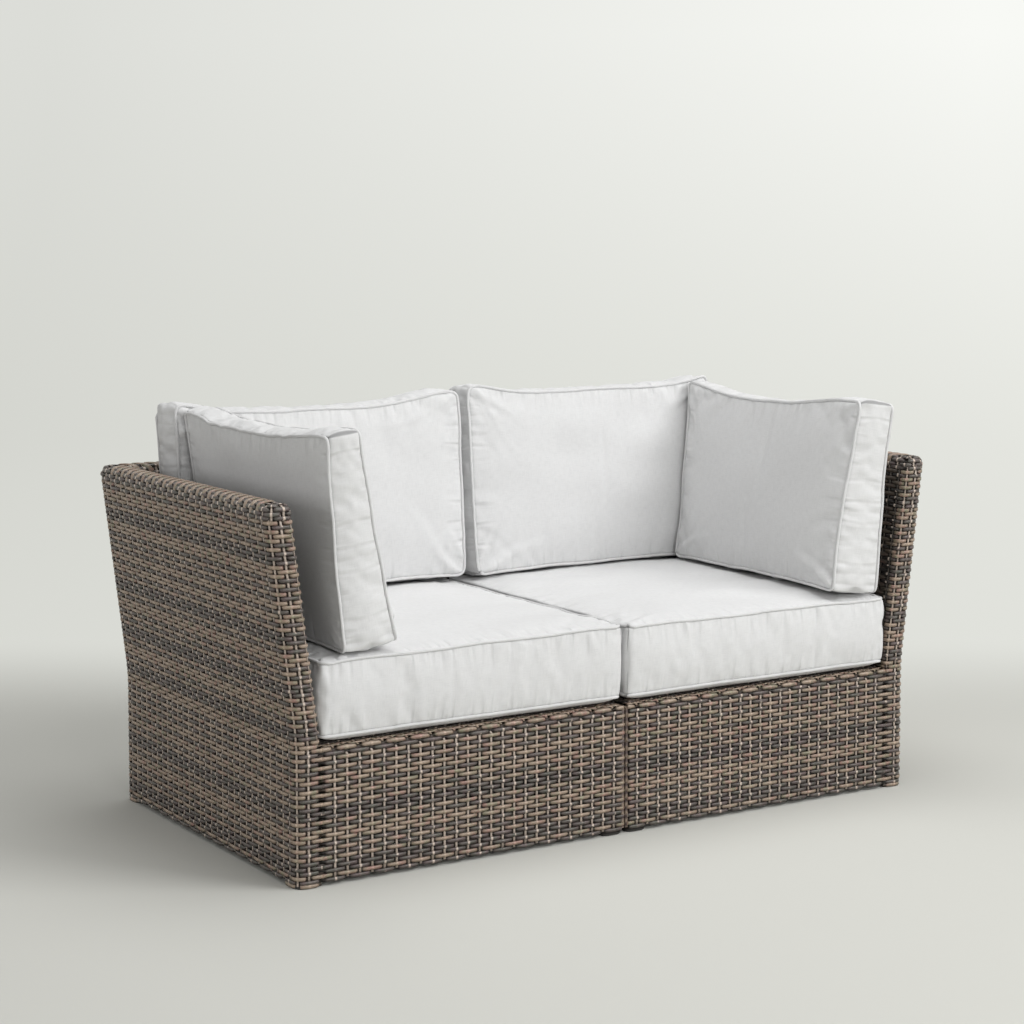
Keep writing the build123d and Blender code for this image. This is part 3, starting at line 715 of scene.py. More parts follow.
# Caps: rows run on over the rolled top, and light strands are laced slantwise across it.
# The same lacing, finer, holds the deck's front edge. Margins are what it leaves free at both ends.
wallRing = roundedPath(
    [(innerSide, front), (width, front), (width, back), (seam, back), (seam, innerBack),
     (innerSide, innerBack)],
    [innerRadius, outerRadius, outerRadius, innerRadius, innerRadius, module["sharpRadius"]], closed=True)
ringLength = float(wallRing["run"][-1])
ringSpacing = ringLength / (2 * round(ringLength / weave["stakeSpacing"] / 2))
lacing = {
    "wall": {"width": 0.0145, "thickness": 0.0044, "skew": 0.036, "lift": 0.0032, "start": 0.664,
             "sideMargins": (0.012, 0.050), "backMargins": (0.010, 0.040), "tuck": 0.008},
    "deck": {"width": 0.0050, "thickness": 0.0030, "skew": 0.008, "lift": 0.0030, "start": 0.2475,
             "margin": 0.010, "reach": 0.024},
    "firstLace": 0.004, "endDip": 0.003,
}


def wallShare(x):
    # The back wall widens from the seam with the lean, and the side moves out whole: 2 mm are spare
    return np.where(x > innerSide - 0.002, 1.0, np.clip((x - seam) / (innerSide - seam), 0, 1))


def leanCap(mat):
    mat["points"][:, 0] += wallShare(mat["points"][:, 0]) * module["flare"]
    return mat


def laceOver(path, length, look, rollStart, rollRadius, flat, end, seed, spacing):
    mat = matFor(lacing["firstLace"], length, 0, 0, 0.0, wallPitch, look["start"], end, Seed=seed,
                 Stake_Spacing=spacing, Stake_Width=look["width"], Stake_Thickness=look["thickness"],
                 Stake_Skew=look["skew"], Stake_Steps=16)
    climb = (mat["points"][:, 1] - look["start"]) / (end - look["start"])
    mat["points"][:, 2] += look["lift"] + (np.sin(np.pi * np.clip(climb, 0, 1)) - 1) * lacing["endDip"]
    mat["stakeTone"] = 0.0
    return wrapOnWall(mat, path, 0.0, rollStart=rollStart, rollRadius=rollRadius, flat=flat)


capRoll, capStart = weave["capRoll"], module["wallTop"] - weave["capRoll"]
capMat = matFor(0.0, ringLength, weave["rowsInWall"], weave["capRows"], weave["wallTopRow"] + wallPitch,
                wallPitch * weave["capRowShare"], module["capBottom"] + weave["capStakes"][0],
                capStart + weave["capStakes"][1], Seed=9, Stake_Spacing=ringSpacing, Stake_Offset=0.0)
capMat["rowTone"] = 1.1
capMat = leanCap(wrapOnWall(capMat, wallRing, 0.0, rollStart=capStart, rollRadius=capRoll,
                            flat=thick / 2 - capRoll))
wallLace, deckLace = lacing["wall"], lacing["deck"]
flatTop = thick - 2 * capRoll
laceEnd = capStart + (capRoll - halfWeave) * math.pi + flatTop + wallLace["tuck"]
laces = []
for seed, start, end, margins in (
        (10, (width, front + wallLace["sideMargins"][0]), (width, back), sum(wallLace["sideMargins"])),
        (11, (width - wallLace["backMargins"][0], back), (seam, back), sum(wallLace["backMargins"]))):
    full = depth if seed == 10 else width - seam
    laces.append(leanCap(laceOver(roundedPath([start, end], [0, 0]), full - margins, wallLace, capStart,
                                  capRoll, flatTop, laceEnd, seed, weave["stakeSpacing"])))
madeTwice("wall_caps", [capMat, *laces], ["side_cap", "back_cap"])

# Behind the weave of each wall stands a dark sheet, a stand-in for the shade inside the hollow wall, so that
# no light comes through its gaps
shadeSheet = {"depth": 0.0088, "thickness": 0.0008, "bottom": 0.012, "top": 0.672, "levels": 24}


def addShadeSheet(side, mirrored):
    levels = np.linspace(shadeSheet["bottom"], shadeSheet["top"], shadeSheet["levels"])
    profile = [(shadeSheet["depth"], z) for z in levels]
    profile += [(shadeSheet["depth"] + shadeSheet["thickness"], z) for z in levels[::-1]]
    ring, outward = wallRing["points"][:-1], wallRing["normals"][:-1]
    points = []
    for deep, z in profile:
        x, y = (ring - outward * deep).T
        points.append(np.column_stack([x + wallShare(x) * leanAt(np.array(z)), y, np.full(len(x), z)]))
    points, faces = np.concatenate(points), ringFaces(len(profile), len(ring))
    if mirrored:
        points, faces = points * (-1, 1, 1), faces[:, ::-1]
    # The sheet paints the shade of the wall's hollow behind the weave
    obj = meshObject(f"{side}_wall_shade_sheet", points, faces.tolist(), sheetInShade)
    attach(obj, "frame")


def ringFaces(rows, count):
    # Quads between rows of points that close on themselves both ways round
    r, i = np.repeat(np.arange(rows), count), np.tile(np.arange(count), rows)
    nextR, nextI = (r + 1) % rows, (i + 1) % count
    return np.stack([r * count + i, r * count + nextI, nextR * count + nextI, nextR * count + i], 1)


for side, mirrored in modules:
    addShadeSheet(side, mirrored)

frontEdge = roundedPath([(seam, front), (innerSide, front)], [0, 0])
edgeLace = laceOver(
    frontEdge, frontLength - deckLace["margin"], deckLace, module["deck"] - module["deckRoll"],
    module["deckRoll"], 1.0, deckLace["start"] + deckLace["reach"], 12, weave["stakeSpacing"] / 2)
madeTwice("deck_edge_lacing", [edgeLace], [])
report("cap weave")

# Where the cushions stand, in metres. Gaps are to the seam, the front, the seat's welt or the wall.
# Middles are those of the solids: half the width and the length, or for a side its place along Y.
standing = {
    "seatRest": 0.2503, "seatWelt": 0.400, "seatSeamGap": 0.004, "seatFrontGap": 0.008,
    "seatMiddle": (0.322, 0.347), "backMiddle": (0.320, 0.200), "sideMiddle": (-0.0828, 0.194),
    "backLean": 4.0, "backTop": 0.675, "backWallGap": 0.0008, "backSeamGap": {"right": 0.020, "left": 0.001},
    "backFootGap": {"right": 0.0086, "left": 0.0086}, "sideFootGap": {"right": 0.0073, "left": 0.0087},
    "sideWallGap": {"right": 0.044, "left": 0.069},
}

# Sizes as the solids have them, in metres. Pulls draw the left, right and bottom edge in at their
# middles, and sag draws in the top: its depth, middle, half width and power. Crown is the height of
# the face over its seam, a wedge is thicker at its foot, and fill is how full of padding it is.
cushionKinds = {
    "seat": {"width": 0.644, "length": 0.694, "thickness": 0.1637, "weltLift": 0.015, "slant": 0.0,
             "pulls": (0.004, 0.005, 0.003), "sag": (0.005, 0.0, 1.0, 4), "cornerRadius": 0.011,
             "crown": 0.019, "backReach": 0.012, "bulge": 0.009, "innerBulge": 0.35, "wedge": (0.0, 0.0),
             "pleats": 40, "rays": 3, "fill": 0.85, "rests": True},
    "back": {"width": 0.640, "length": 0.400, "thickness": 0.104, "weltLift": 0.008, "slant": 0.0,
             "pulls": (0.004, 0.004, 0.006), "sag": (0.020, 0.0, 1.0, 4), "cornerRadius": 0.014,
             "crown": 0.019, "backReach": 0.030, "bulge": 0.007, "innerBulge": 1.0, "wedge": (0.0, 0.0),
             "pleats": 36, "rays": 5, "fill": 0.7, "rests": False},
    "side": {"width": 0.5725, "length": 0.388, "thickness": 0.107, "weltLift": 0.008, "slant": 0.0271,
             "pulls": (0.007, 0.007, 0.005), "sag": (0.018, -0.08, 0.98, 3), "cornerRadius": 0.009,
             "crown": 0.025, "backReach": 0.040, "bulge": 0.009, "innerBulge": 1.0, "wedge": (0.006, 0.010),
             "pleats": 44, "rays": 5, "fill": 0.7, "rests": False},
}
# No two cushions are stuffed or set down alike. Shifts move one corner of a cushion, in metres
# across, along and out: the keys give its side, its end, and 0 for the rest face or 1 for the crown.
cushionFits = {
    "left_back": {"pulls": (0.003, -0.003, 0.006), "sag": (0.024, -0.08, 0.98, 4), "shifts": {
        (-1, 1, 0): (-0.009, 0.0, 0.0), (-1, 1, 1): (-0.004, -0.003, 0.0), (1, 1, 0): (0.004, -0.003, 0.0),
        (1, 1, 1): (0.005, -0.006, 0.0), (1, -1, 1): (0.005, 0.004, 0.0), (1, -1, 0): (0.004, 0.002, 0.0)}},
    "right_back": {"pulls": (-0.003, 0.004, 0.006), "sag": (0.019, 0.05, 0.98, 6), "shifts": {
        (-1, 1, 0): (0.005, 0.003, 0.0), (-1, 1, 1): (0.005, 0.004, 0.0), (1, 1, 0): (0.0, 0.004, 0.0),
        (1, 1, 1): (0.0, 0.004, 0.0), (-1, -1, 0): (0.012, 0.0, 0.0), (-1, -1, 1): (0.015, 0.0, 0.0)}},
    "left_side": {"shifts": {
        (1, 1, 0): (0.0, 0.0, 0.005), (-1, 1, 0): (0.0, 0.003, 0.006), (1, -1, 1): (0.0, 0.0, 0.006)}},
    "right_side": {"sag": (0.022, -0.12, 0.92, 3), "shifts": {
        (1, 1, 0): (0.0, 0.0, -0.010), (1, 1, 1): (0.0, 0.0, 0.008), (1, -1, 0): (0.0, 0.0, -0.008),
        (1, -1, 1): (0.0, 0.0, 0.010), (-1, -1, 1): (0.0, 0.0, -0.020), (-1, -1, 0): (0.0, 0.0, -0.006),
        (-1, 1, 1): (0.0, 0.006, -0.004), (-1, 1, 0): (0.0, 0.006, 0.0)}},
    "left_seat": {"shifts": {
        (-1, -1, 1): (-0.003, 0.0, 0.002), (1, -1, 1): (0.0, 0.0, -0.002),
        (-1, 1, 0): (-0.004, 0.0, 0.0), (-1, 1, 1): (-0.004, 0.0, 0.0)}},
    "right_seat": {"shifts": {
        (-1, -1, 1): (0.003, 0.0, -0.002), (1, -1, 1): (0.004, 0.0, -0.004),
        (-1, 1, 0): (0.012, 0.0, 0.0), (-1, 1, 1): (0.012, 0.0, 0.0)}},
}
cushionShape = {
    "solidCrown": 0.014, "cell": 0.0055, "clothCell": 0.014, "edgeCells": (0.0, 0.0022, 0.0050, 0.0095),
    "pipingRadius": 0.0032, "pipingProud": 0.75, "pipingFlat": 0.0021, "cordStep": 0.005,
    "groove": 0.0036, "grooveWidth": 0.0034, "startCrown": 0.006, "crownReach": 0.040,
    "sewnSwell": 0.4, "airSwell": 0.6, "mostMovement": 0.024,
    "seamWander": 0.0014, "wanderLength": 0.11, "wanderReach": 0.022, "wanderStrength": 0.55,
    "acrossWander": 0.8, "restWander": 0.3, "mitreWidth": 0.008, "mitreSpread": 0.25,
    "softWaves": 0.0016, "softWaveCount": 7, "softWaveLength": 0.15, "softWaveRange": (0.6, 1.6),
    "softStart": 0.05, "cornerSeam": 0.0014, "cornerSeamWidth": 0.0018,
}
# Each pleat draws its slant, width, reach and depth from these ranges, and each ray out of a corner
# its angle, width, reach and depth. Beside each fold lies a valley: its depth and how far off it is.
folds = {
    "pleatValley": (0.8, 1.5), "rayValley": (0.6, 1.7),
    "pleat": ((-0.35, 0.35), (0.0035, 0.0075), (0.012, 0.050), (0.0008, 0.0026)),
    "ray": ((0.25, 1.3), (0.006, 0.011), (0.05, 0.13), (0.0010, 0.0026)),
    "boxingReach": 1.5, "pleatSpread": 0.040, "calmWidth": 0.010,
    "rayStart": 0.045, "rayClear": 0.012, "rayBend": 0.012, "rayBendLength": 0.05,
}
# Light cloth, a little larger than its cut, held at its seams and blown up for some frames
clothSettings = {
    "quality": 4, "mass": 0.25, "vertex_group_mass": "seams", "tension_stiffness": 12,
    "compression_stiffness": 12, "shear_stiffness": 6, "bending_stiffness": 0.6, "use_pressure": True,
    "uniform_pressure_force": 4.0, "shrink_min": -0.025,
}
clothFrames = 20


def evenCells(length, cell):
    # Places along a length: close together at both ends, where the seams are, and even between
    edges = cushionShape["edgeCells"]
    count = max(2, round((length - 2 * edges[-1]) / cell))
    middle = np.linspace(edges[-1], length - edges[-1], count + 1)
    return np.concatenate([edges[:-1], middle, length - np.array(edges[:-1])[::-1]])


def boxingHeight(kind):
    return kind["thickness"] - cushionShape["solidCrown"] - kind["weltLift"]


def boxGrid(kind, cell, fine):
    # A closed box of cells: two panels and the boxing between them. Each point has its panel
    # place (u, v from -1 to 1), its level from the rest face's seam, and its zone:
    # 0 rest face, 1 crowned face, 2 boxing.
    def cells(length):
        return evenCells(length, cell) if fine else np.linspace(0, length, round(length / cell) + 1)

    us = cells(kind["width"]) / kind["width"] * 2 - 1
    vs = cells(kind["length"]) / kind["length"] * 2 - 1
    levels = cells(boxingHeight(kind)) / boxingHeight(kind)
    nu, nv = len(us), len(vs)
    panel = np.stack(np.meshgrid(us, vs), -1).reshape(-1, 2)
    ring = np.array([(i, 0) for i in range(nu - 1)] + [(nu - 1, j) for j in range(nv - 1)]
                    + [(i, nv - 1) for i in range(nu - 1, 0, -1)] + [(0, j) for j in range(nv - 1, 0, -1)])
    ringIndex = ring[:, 1] * nu + ring[:, 0]
    count, between = len(ring), len(levels) - 2
    uv = np.concatenate([panel, panel] + [panel[ringIndex]] * between)
    zone = np.concatenate([np.zeros(nu * nv), np.ones(nu * nv), np.full(count * between, 2)]).astype(int)
    level = np.concatenate([np.zeros(nu * nv), np.ones(nu * nv), np.repeat(levels[1:-1], count)])
    loops = [ringIndex]
    loops += [2 * nu * nv + k * count + np.arange(count) for k in range(between)]
    loops.append(ringIndex + nu * nv)
    corner = (np.arange(nv - 1)[:, None] * nu + np.arange(nu - 1)).ravel()
    quads = np.stack([corner, corner + 1, corner + nu + 1, corner + nu], 1)
    faces = [quads[:, ::-1], quads + nu * nv]
    for low, high in zip(loops, loops[1:]):
        faces.append(np.stack([low, np.roll(low, -1), np.roll(high, -1), high], 1))
    return {"uv": uv, "zone": zone, "level": level, "faces": np.concatenate(faces), "loops": loops,
            "us": us, "vs": vs, "levels": levels, "grids": (0, nu * nv), "ring": ring}


def insets(kind, uv):
    return (1 - np.abs(uv[:, 0])) * kind["width"] / 2, (1 - np.abs(uv[:, 1])) * kind["length"] / 2


def outlinePlace(kind, uv):
    # Panel place to metres: bowed edges, a sagging top, rounded corners, and the slanted upper left corner
    halfW, halfL = kind["width"] / 2, kind["length"] / 2
    u, v = uv[:, 0], uv[:, 1]
    leftPull, rightPull, bottomPull = kind["pulls"]
    x = u * (halfW - np.where(u > 0, rightPull, leftPull) * (1 - v ** 2))
    deep, middle, reach, power = kind["sag"]
    sag = deep * np.maximum(0, 1 - np.abs((u - middle) / reach) ** power) ** 2
    y = v * (halfL - np.where(v > 0, sag, bottomPull * (1 - u ** 4)))
    radius = kind["cornerRadius"]
    dx = np.maximum(np.abs(u) * halfW - (halfW - radius), 0)
    dy = np.maximum(np.abs(v) * halfL - (halfL - radius), 0)
    longer, length = np.maximum(dx, dy), np.hypot(dx, dy)
    factor = np.where(length > 1e-9, longer / np.maximum(length, 1e-9), 1.0)
    x -= np.sign(u) * dx * (1 - factor)
    y -= np.sign(v) * dy * (1 - factor)
    x -= kind["slant"] * (1 - u) / 2 * (1 + v) / 2
    return np.column_stack([x, y])


def plainCushion(kind, grid, crown):
    # The sewn shape before it is filled
    uv, zone, level = grid["uv"], grid["zone"], grid["level"]
    insetX, insetY = insets(kind, uv)

    def dome(reach):
        return (1 - np.exp(-insetX / reach)) * (1 - np.exp(-insetY / reach))

    low = kind["weltLift"]
    high = low + boxingHeight(kind)
    z = np.where(zone == 1, high + crown * dome(cushionShape["crownReach"]),
                 np.where(zone == 0, low * (1 - dome(kind["backReach"])), low + (high - low) * level))
    # A wedge is thicker at its foot than at its top
    restShift, crownShift = kind["wedge"]
    z += (restShift * (1 - level) - crownShift * level) * uv[:, 1]
    points = np.column_stack([outlinePlace(kind, uv), z])
    for (cornerU, cornerV, face), shift in kind["shifts"].items():
        share = (1 + cornerU * uv[:, 0]) / 2 * (1 + cornerV * uv[:, 1]) / 2 * (level if face else 1 - level)
        points += share[:, None] * np.array(shift)
    # Even its corners swell a little between the seams
    points[:, :2] += swelled(kind, grid, cushionShape["sewnSwell"])
    return points


def swelled(kind, grid, share):
    # How far the boxing stands out between its seams, for a share of the whole bulge
    swell = share * kind["bulge"] * 4 * grid["level"] * (1 - grid["level"]) * (grid["zone"] == 2)
    return outwardOf(grid) * (swell * innerShare(kind, grid["uv"]))[:, None]


def innerShare(kind, uv):
    # How much of its swelling the boxing on the left edge has, where another cushion stands beside it
    return np.where(uv[:, 0] < -1 + 1e-9, kind["innerBulge"], 1.0)


def outwardOf(grid):
    # The way out of the boxing, in the plane of the panels
    u, v = grid["uv"][:, 0], grid["uv"][:, 1]
    across = (np.abs(u) > 1 - 1e-9) * np.sign(u)
    along = (np.abs(v) > 1 - 1e-9) * np.sign(v)
    way = np.column_stack([across, along])
    return way / np.maximum(np.linalg.norm(way, axis=1), 1)[:, None]


def blowUp(kind, grid, points):
    # The movement of cloth under pressure, brought to the crown and bulge that this cushion has
    obj = meshObject("clothPad", points, grid["faces"].tolist())
    seams = obj.vertex_groups.new(name="seams")
    seams.add([int(i) for i in (*grid["loops"][0], *grid["loops"][-1])], 1.0, "REPLACE")
    cloth = obj.modifiers.new("Cloth", "CLOTH")
    for key, value in clothSettings.items():
        setattr(cloth.settings, key, value)
    cloth.settings.effector_weights.gravity = 0.0
    cloth.collision_settings.use_collision = False
    cloth.point_cache.frame_start, cloth.point_cache.frame_end = 1, clothFrames
    scene = bpy.context.scene
    for number in range(clothFrames):
        scene.frame_set(number + 1)
    evaluated = obj.evaluated_get(bpy.context.evaluated_depsgraph_get())
    mesh = bpy.data.meshes.new_from_object(evaluated)
    moved = getPoints(mesh) - points
    bpy.data.meshes.remove(mesh)
    bpy.data.objects.remove(obj)
    scene.frame_set(1)
    # Scaled by what is near the highest, so that one wrinkle doesn't count
    zone = grid["zone"]
    top = zone == 1
    rise = np.percentile(moved[top, 2], 97)
    moved[top] *= (kind["crown"] - cushionShape["startCrown"]) / max(rise, 1e-4)
    boxing = zone == 2
    swell = np.percentile((moved[boxing, :2] * outwardOf(grid)[boxing]).sum(1), 97)
    moved[boxing] *= cushionShape["airSwell"] * kind["bulge"] / max(swell, 1e-4)
    moved[boxing, :2] *= innerShare(kind, grid["uv"])[boxing, None]
    moved[zone == 0] = 0
    report(f"cloth rose {rise * 1000:.1f} mm, boxing {swell * 1000:.1f} mm")
    size = np.linalg.norm(moved, axis=1)
    limit = cushionShape["mostMovement"]
    return moved * (limit * np.tanh(size / limit) / np.maximum(size, 1e-9))[:, None]


def ringPlaceOf(uv):
    # 0 to 8 round the square, 2 for each side in turn
    u, v = uv[:, 0], uv[:, 1]
    place = np.where(v <= -1 + 1e-9, u + 1, 0.0)
    place = np.where((u >= 1 - 1e-9) & (v > -1 + 1e-9), 3 + v, place)
    place = np.where((v >= 1 - 1e-9) & (u < 1 - 1e-9), 5 - u, place)
    return np.where((u <= -1 + 1e-9) & (v < 1 - 1e-9) & (v > -1 + 1e-9), 7 - v, place)


def ringMetres(kind, place):
    w, l = kind["width"], kind["length"]
    return np.interp(place, [0, 2, 4, 6, 8], [0, w, w + l, 2 * w + l, 2 * w + 2 * l])


def cubicSample(field, rows, columns):
    # Smooth sampling of a grid of vectors at fractional places
    def weights(t):
        return np.stack([-0.5 * t + t ** 2 - 0.5 * t ** 3, 1 - 2.5 * t ** 2 + 1.5 * t ** 3,
                         0.5 * t + 2 * t ** 2 - 1.5 * t ** 3, -0.5 * t ** 2 + 0.5 * t ** 3])

    nr, nc = field.shape[:2]
    r0 = np.clip(np.floor(rows).astype(int), 0, nr - 2)
    c0 = np.clip(np.floor(columns).astype(int), 0, nc - 2)
    wr, wc = weights(rows - r0), weights(columns - c0)
    total = np.zeros((len(rows), 3))
    for a in range(4):
        for b in range(4):
            r, c = np.clip(r0 + a - 1, 0, nr - 1), np.clip(c0 + b - 1, 0, nc - 1)
            total += (wr[a] * wc[b])[:, None] * field[r, c]
    return total


def sampleMovement(coarse, movement, fine):
    # Carries the movement of the coarse cloth over to the fine mesh, zone by zone
    result = np.zeros((len(fine["uv"]), 3))
    nu, nv = len(coarse["us"]), len(coarse["vs"])
    for zoneNumber in (0, 1):
        chosen = fine["zone"] == zoneNumber
        start = coarse["grids"][zoneNumber]
        field = movement[start:start + nu * nv].reshape(nv, nu, 3)
        gu = np.interp(fine["uv"][chosen, 0], coarse["us"], np.arange(nu))
        gv = np.interp(fine["uv"][chosen, 1], coarse["vs"], np.arange(nv))
        result[chosen] = cubicSample(field, gv, gu)
    ring = coarse["ring"]
    run = ringPlaceOf(np.column_stack([coarse["us"][ring[:, 0]], coarse["vs"][ring[:, 1]]]))
    field = np.stack([movement[loop] for loop in coarse["loops"]])
    field = np.concatenate([field, field[:, :1]], axis=1)
    chosen = fine["zone"] == 2
    gr = np.interp(ringPlaceOf(fine["uv"][chosen]), np.concatenate([run, [8.0]]), np.arange(len(run) + 1))
    gl = np.interp(fine["level"][chosen], coarse["levels"], np.arange(len(coarse["levels"])))
    result[chosen] = cubicSample(field, gl, gr)
    return result


def pointNormals(points, quads):
    low, right, high, left = (points[quads[:, corner]] for corner in range(4))
    faceNormals = np.cross(high - low, left - right)
    normals = np.zeros_like(points)
    for corner in range(4):
        np.add.at(normals, quads[:, corner], faceNormals)
    return normals / np.maximum(np.linalg.norm(normals, axis=1), 1e-12)[:, None]


def seamDistance(kind, grid):
    # Over the cloth: distance to the nearest seam, place along that seam, and which seam it is
    uv, zone, level = grid["uv"], grid["zone"], grid["level"]
    insetX, insetY = insets(kind, uv)
    distance = np.where(zone == 2, np.minimum(level, 1 - level) * boxingHeight(kind),
                        np.minimum(insetX, insetY))
    nearX = insetX < insetY
    edge = np.column_stack([np.where(nearX, np.sign(uv[:, 0]), uv[:, 0]),
                            np.where(nearX, uv[:, 1], np.sign(uv[:, 1]))])
    edge = np.where((zone == 2)[:, None], uv, edge)
    upper = np.where(zone == 2, level > 0.5, zone == 1)
    return distance, ringMetres(kind, ringPlaceOf(edge)), upper


def clearOfMitre(kind, grid, distance):
    # The nearest seam changes along each corner's mitre, so what follows a seam fades out there:
    # 1 away from the mitres and 0 on them
    insetX, insetY = insets(kind, grid["uv"])
    wide = cushionShape["mitreWidth"]
    line = np.exp(-((insetX - insetY) / (wide + cushionShape["mitreSpread"] * distance)) ** 2)
    return np.where(grid["zone"] == 2, 1.0, 1 - line * smoothStep(0.001, wide, distance))


def wanderSeams(kind, grid, points, seed):
    # Hand-fed seams are never straight: both lines wander, and the cloth beside them follows
    distance, metres, upper = seamDistance(kind, grid)
    around = 2 * (kind["width"] + kind["length"])
    waves = max(3, round(around / cushionShape["wanderLength"]))
    longest = waves // 3
    rng = np.random.default_rng(seed)
    moved = np.zeros_like(points)
    away = points[:, :2] / np.maximum(np.linalg.norm(points[:, :2], axis=1), 1e-9)[:, None]
    for isUpper in (False, True):
        sway, lift = np.zeros(len(points)), np.zeros(len(points))
        for count in range(longest, waves + 1):
            strength = cushionShape["wanderStrength"] / math.sqrt(1 + (count - longest) / 3)
            turn = 2 * np.pi * metres / around * count
            sway += strength * rng.normal() * np.sin(turn + rng.uniform(0, 6.28))
            lift += strength * rng.normal() * np.sin(turn + rng.uniform(0, 6.28))
        near = np.exp(-(distance / cushionShape["wanderReach"]) ** 2) * (upper == isUpper)
        near *= cushionShape["seamWander"]
        moved[:, :2] += away * (np.tanh(sway) * near * cushionShape["acrossWander"])[:, None]
        # A seam that rests on the deck moves least
        onDeck = kind["rests"] and not isUpper
        moved[:, 2] += np.tanh(lift) * near * (cushionShape["restWander"] if onDeck else 1.0)
    return points + moved * clearOfMitre(kind, grid, distance)[:, None]


def foldAcross(off, wide, valley):
    deep, away = valley
    return np.exp(-(off / wide) ** 2) - deep * np.exp(-((off - away * wide) / wide) ** 2)


def addFolds(kind, grid, points, seed):
    # Pleats across the seams, pulls out of the corners, soft waves over the faces,
    # and a valley along each seam for the piping
    normals = pointNormals(points, grid["faces"])
    distance, metres, upper = seamDistance(kind, grid)
    zone, uv = grid["zone"], grid["uv"]
    around = 2 * (kind["width"] + kind["length"])
    rng = np.random.default_rng(seed)
    lift = np.zeros(len(points))
    for isUpper in (True, False):
        for zones in ((0, 1), (2,)):
            here = (upper == isUpper) & np.isin(zone, zones)
            for _ in range(kind["pleats"]):
                at = rng.uniform(0, around)
                slantBy, wide, reach, deep = (rng.uniform(*limits) for limits in folds["pleat"])
                reach *= folds["boxingReach"] if zones == (2,) else 1.0
                off = (metres - at - slantBy * distance + around / 2) % around - around / 2
                ridge = foldAcross(off, wide * (1 + distance / folds["pleatSpread"]), folds["pleatValley"])
                lift += here * deep * ridge * np.exp(-(distance / reach) ** 2)
    lift *= clearOfMitre(kind, grid, distance)
    halfW, halfL = kind["width"] / 2, kind["length"] / 2
    for cornerU in (-1, 1):
        for cornerV in (-1, 1):
            dx, dy = halfW * (1 - cornerU * uv[:, 0]), halfL * (1 - cornerV * uv[:, 1])
            far, angle = np.hypot(dx, dy), np.arctan2(dy, dx)
            for _ in range(kind["rays"]):
                at, wide, reach, deep = (rng.uniform(*limits) for limits in folds["ray"])
                off = (angle - at) * np.maximum(far, 0.01)
                off += folds["rayBend"] * np.sin(far / folds["rayBendLength"] + at * 9)
                ridge = foldAcross(off, wide, folds["rayValley"])
                ridge *= np.exp(-((far - folds["rayStart"]) / reach) ** 2)
                lift += (zone == 1) * deep * ridge * (far > folds["rayClear"])
    soft = np.zeros(len(points))
    for _ in range(cushionShape["softWaveCount"]):
        way = rng.normal(size=3) * (1.0, 1.0, 0.4)
        length = cushionShape["softWaveLength"] * rng.uniform(*cushionShape["softWaveRange"])
        way *= 2 * np.pi / length / np.linalg.norm(way)
        soft += np.sin(points @ way + rng.uniform(0, 6.28)) / 3
    resting = (zone == 0) & kind["rests"]
    soft *= cushionShape["softWaves"] * smoothStep(0.0, cushionShape["softStart"], distance)
    lift += np.where(resting, 0.0, soft)
    lift *= np.where(resting, 0.0, smoothStep(0.0, folds["calmWidth"], distance))
    lift -= cushionShape["groove"] * np.exp(-(distance / cushionShape["grooveWidth"]) ** 2)
    # The boxing strip is joined at the cushion's right upper corner
    off = metres - (kind["width"] + kind["length"])
    lift -= cushionShape["cornerSeam"] * np.exp(-(off / cushionShape["cornerSeamWidth"]) ** 2) * (zone == 2)
    return points + normals * lift[:, None]


def pipingAlong(line, outward, radius, sides):
    # A closed round cord along a loop of points
    tangent = np.roll(line, -1, 0) - np.roll(line, 1, 0)
    tangent /= np.linalg.norm(tangent, axis=1)[:, None]
    outward = outward - (outward * tangent).sum(1)[:, None] * tangent
    outward /= np.linalg.norm(outward, axis=1)[:, None]
    third = np.cross(tangent, outward)
    angles = 2 * np.pi * np.arange(sides) / sides
    points = (line[:, None] + radius * (np.cos(angles)[:, None] * outward[:, None]
                                        + np.sin(angles)[:, None] * third[:, None])).reshape(-1, 3)
    return points, ringFaces(len(line), sides)


def clothUv(kind, grid, mesh):
    # UV in metres: each panel and the boxing lie flat, so that threads keep their size
    w, l = kind["width"], kind["length"]
    panel = grid["uv"] * (w / 2, l / 2) + (3.0, 0.0)
    side = np.column_stack([ringMetres(kind, ringPlaceOf(grid["uv"])),
                            grid["level"] * boxingHeight(kind) + 2.0])
    panelLoops = 2 * 4 * (len(grid["us"]) - 1) * (len(grid["vs"]) - 1)
    corners = np.zeros(len(mesh.loops), int)
    mesh.loops.foreach_get("vertex_index", corners)
    coords = np.concatenate([panel[corners[:panelLoops]], side[corners[panelLoops:]]])
    # The last cell of the ring closes on its first point, a whole turn further on
    around = 2 * (w + l)
    quads = coords[panelLoops:].reshape(-1, 4, 2)
    wrapped = np.ptp(quads[:, :, 0], axis=1) > around / 2
    quads[wrapped, :, 0] += np.where(quads[wrapped, :, 0] < around / 2, around, 0)
    mesh.uv_layers.new(name="cloth").data.foreach_set("uv", coords.astype(np.float32).ravel())


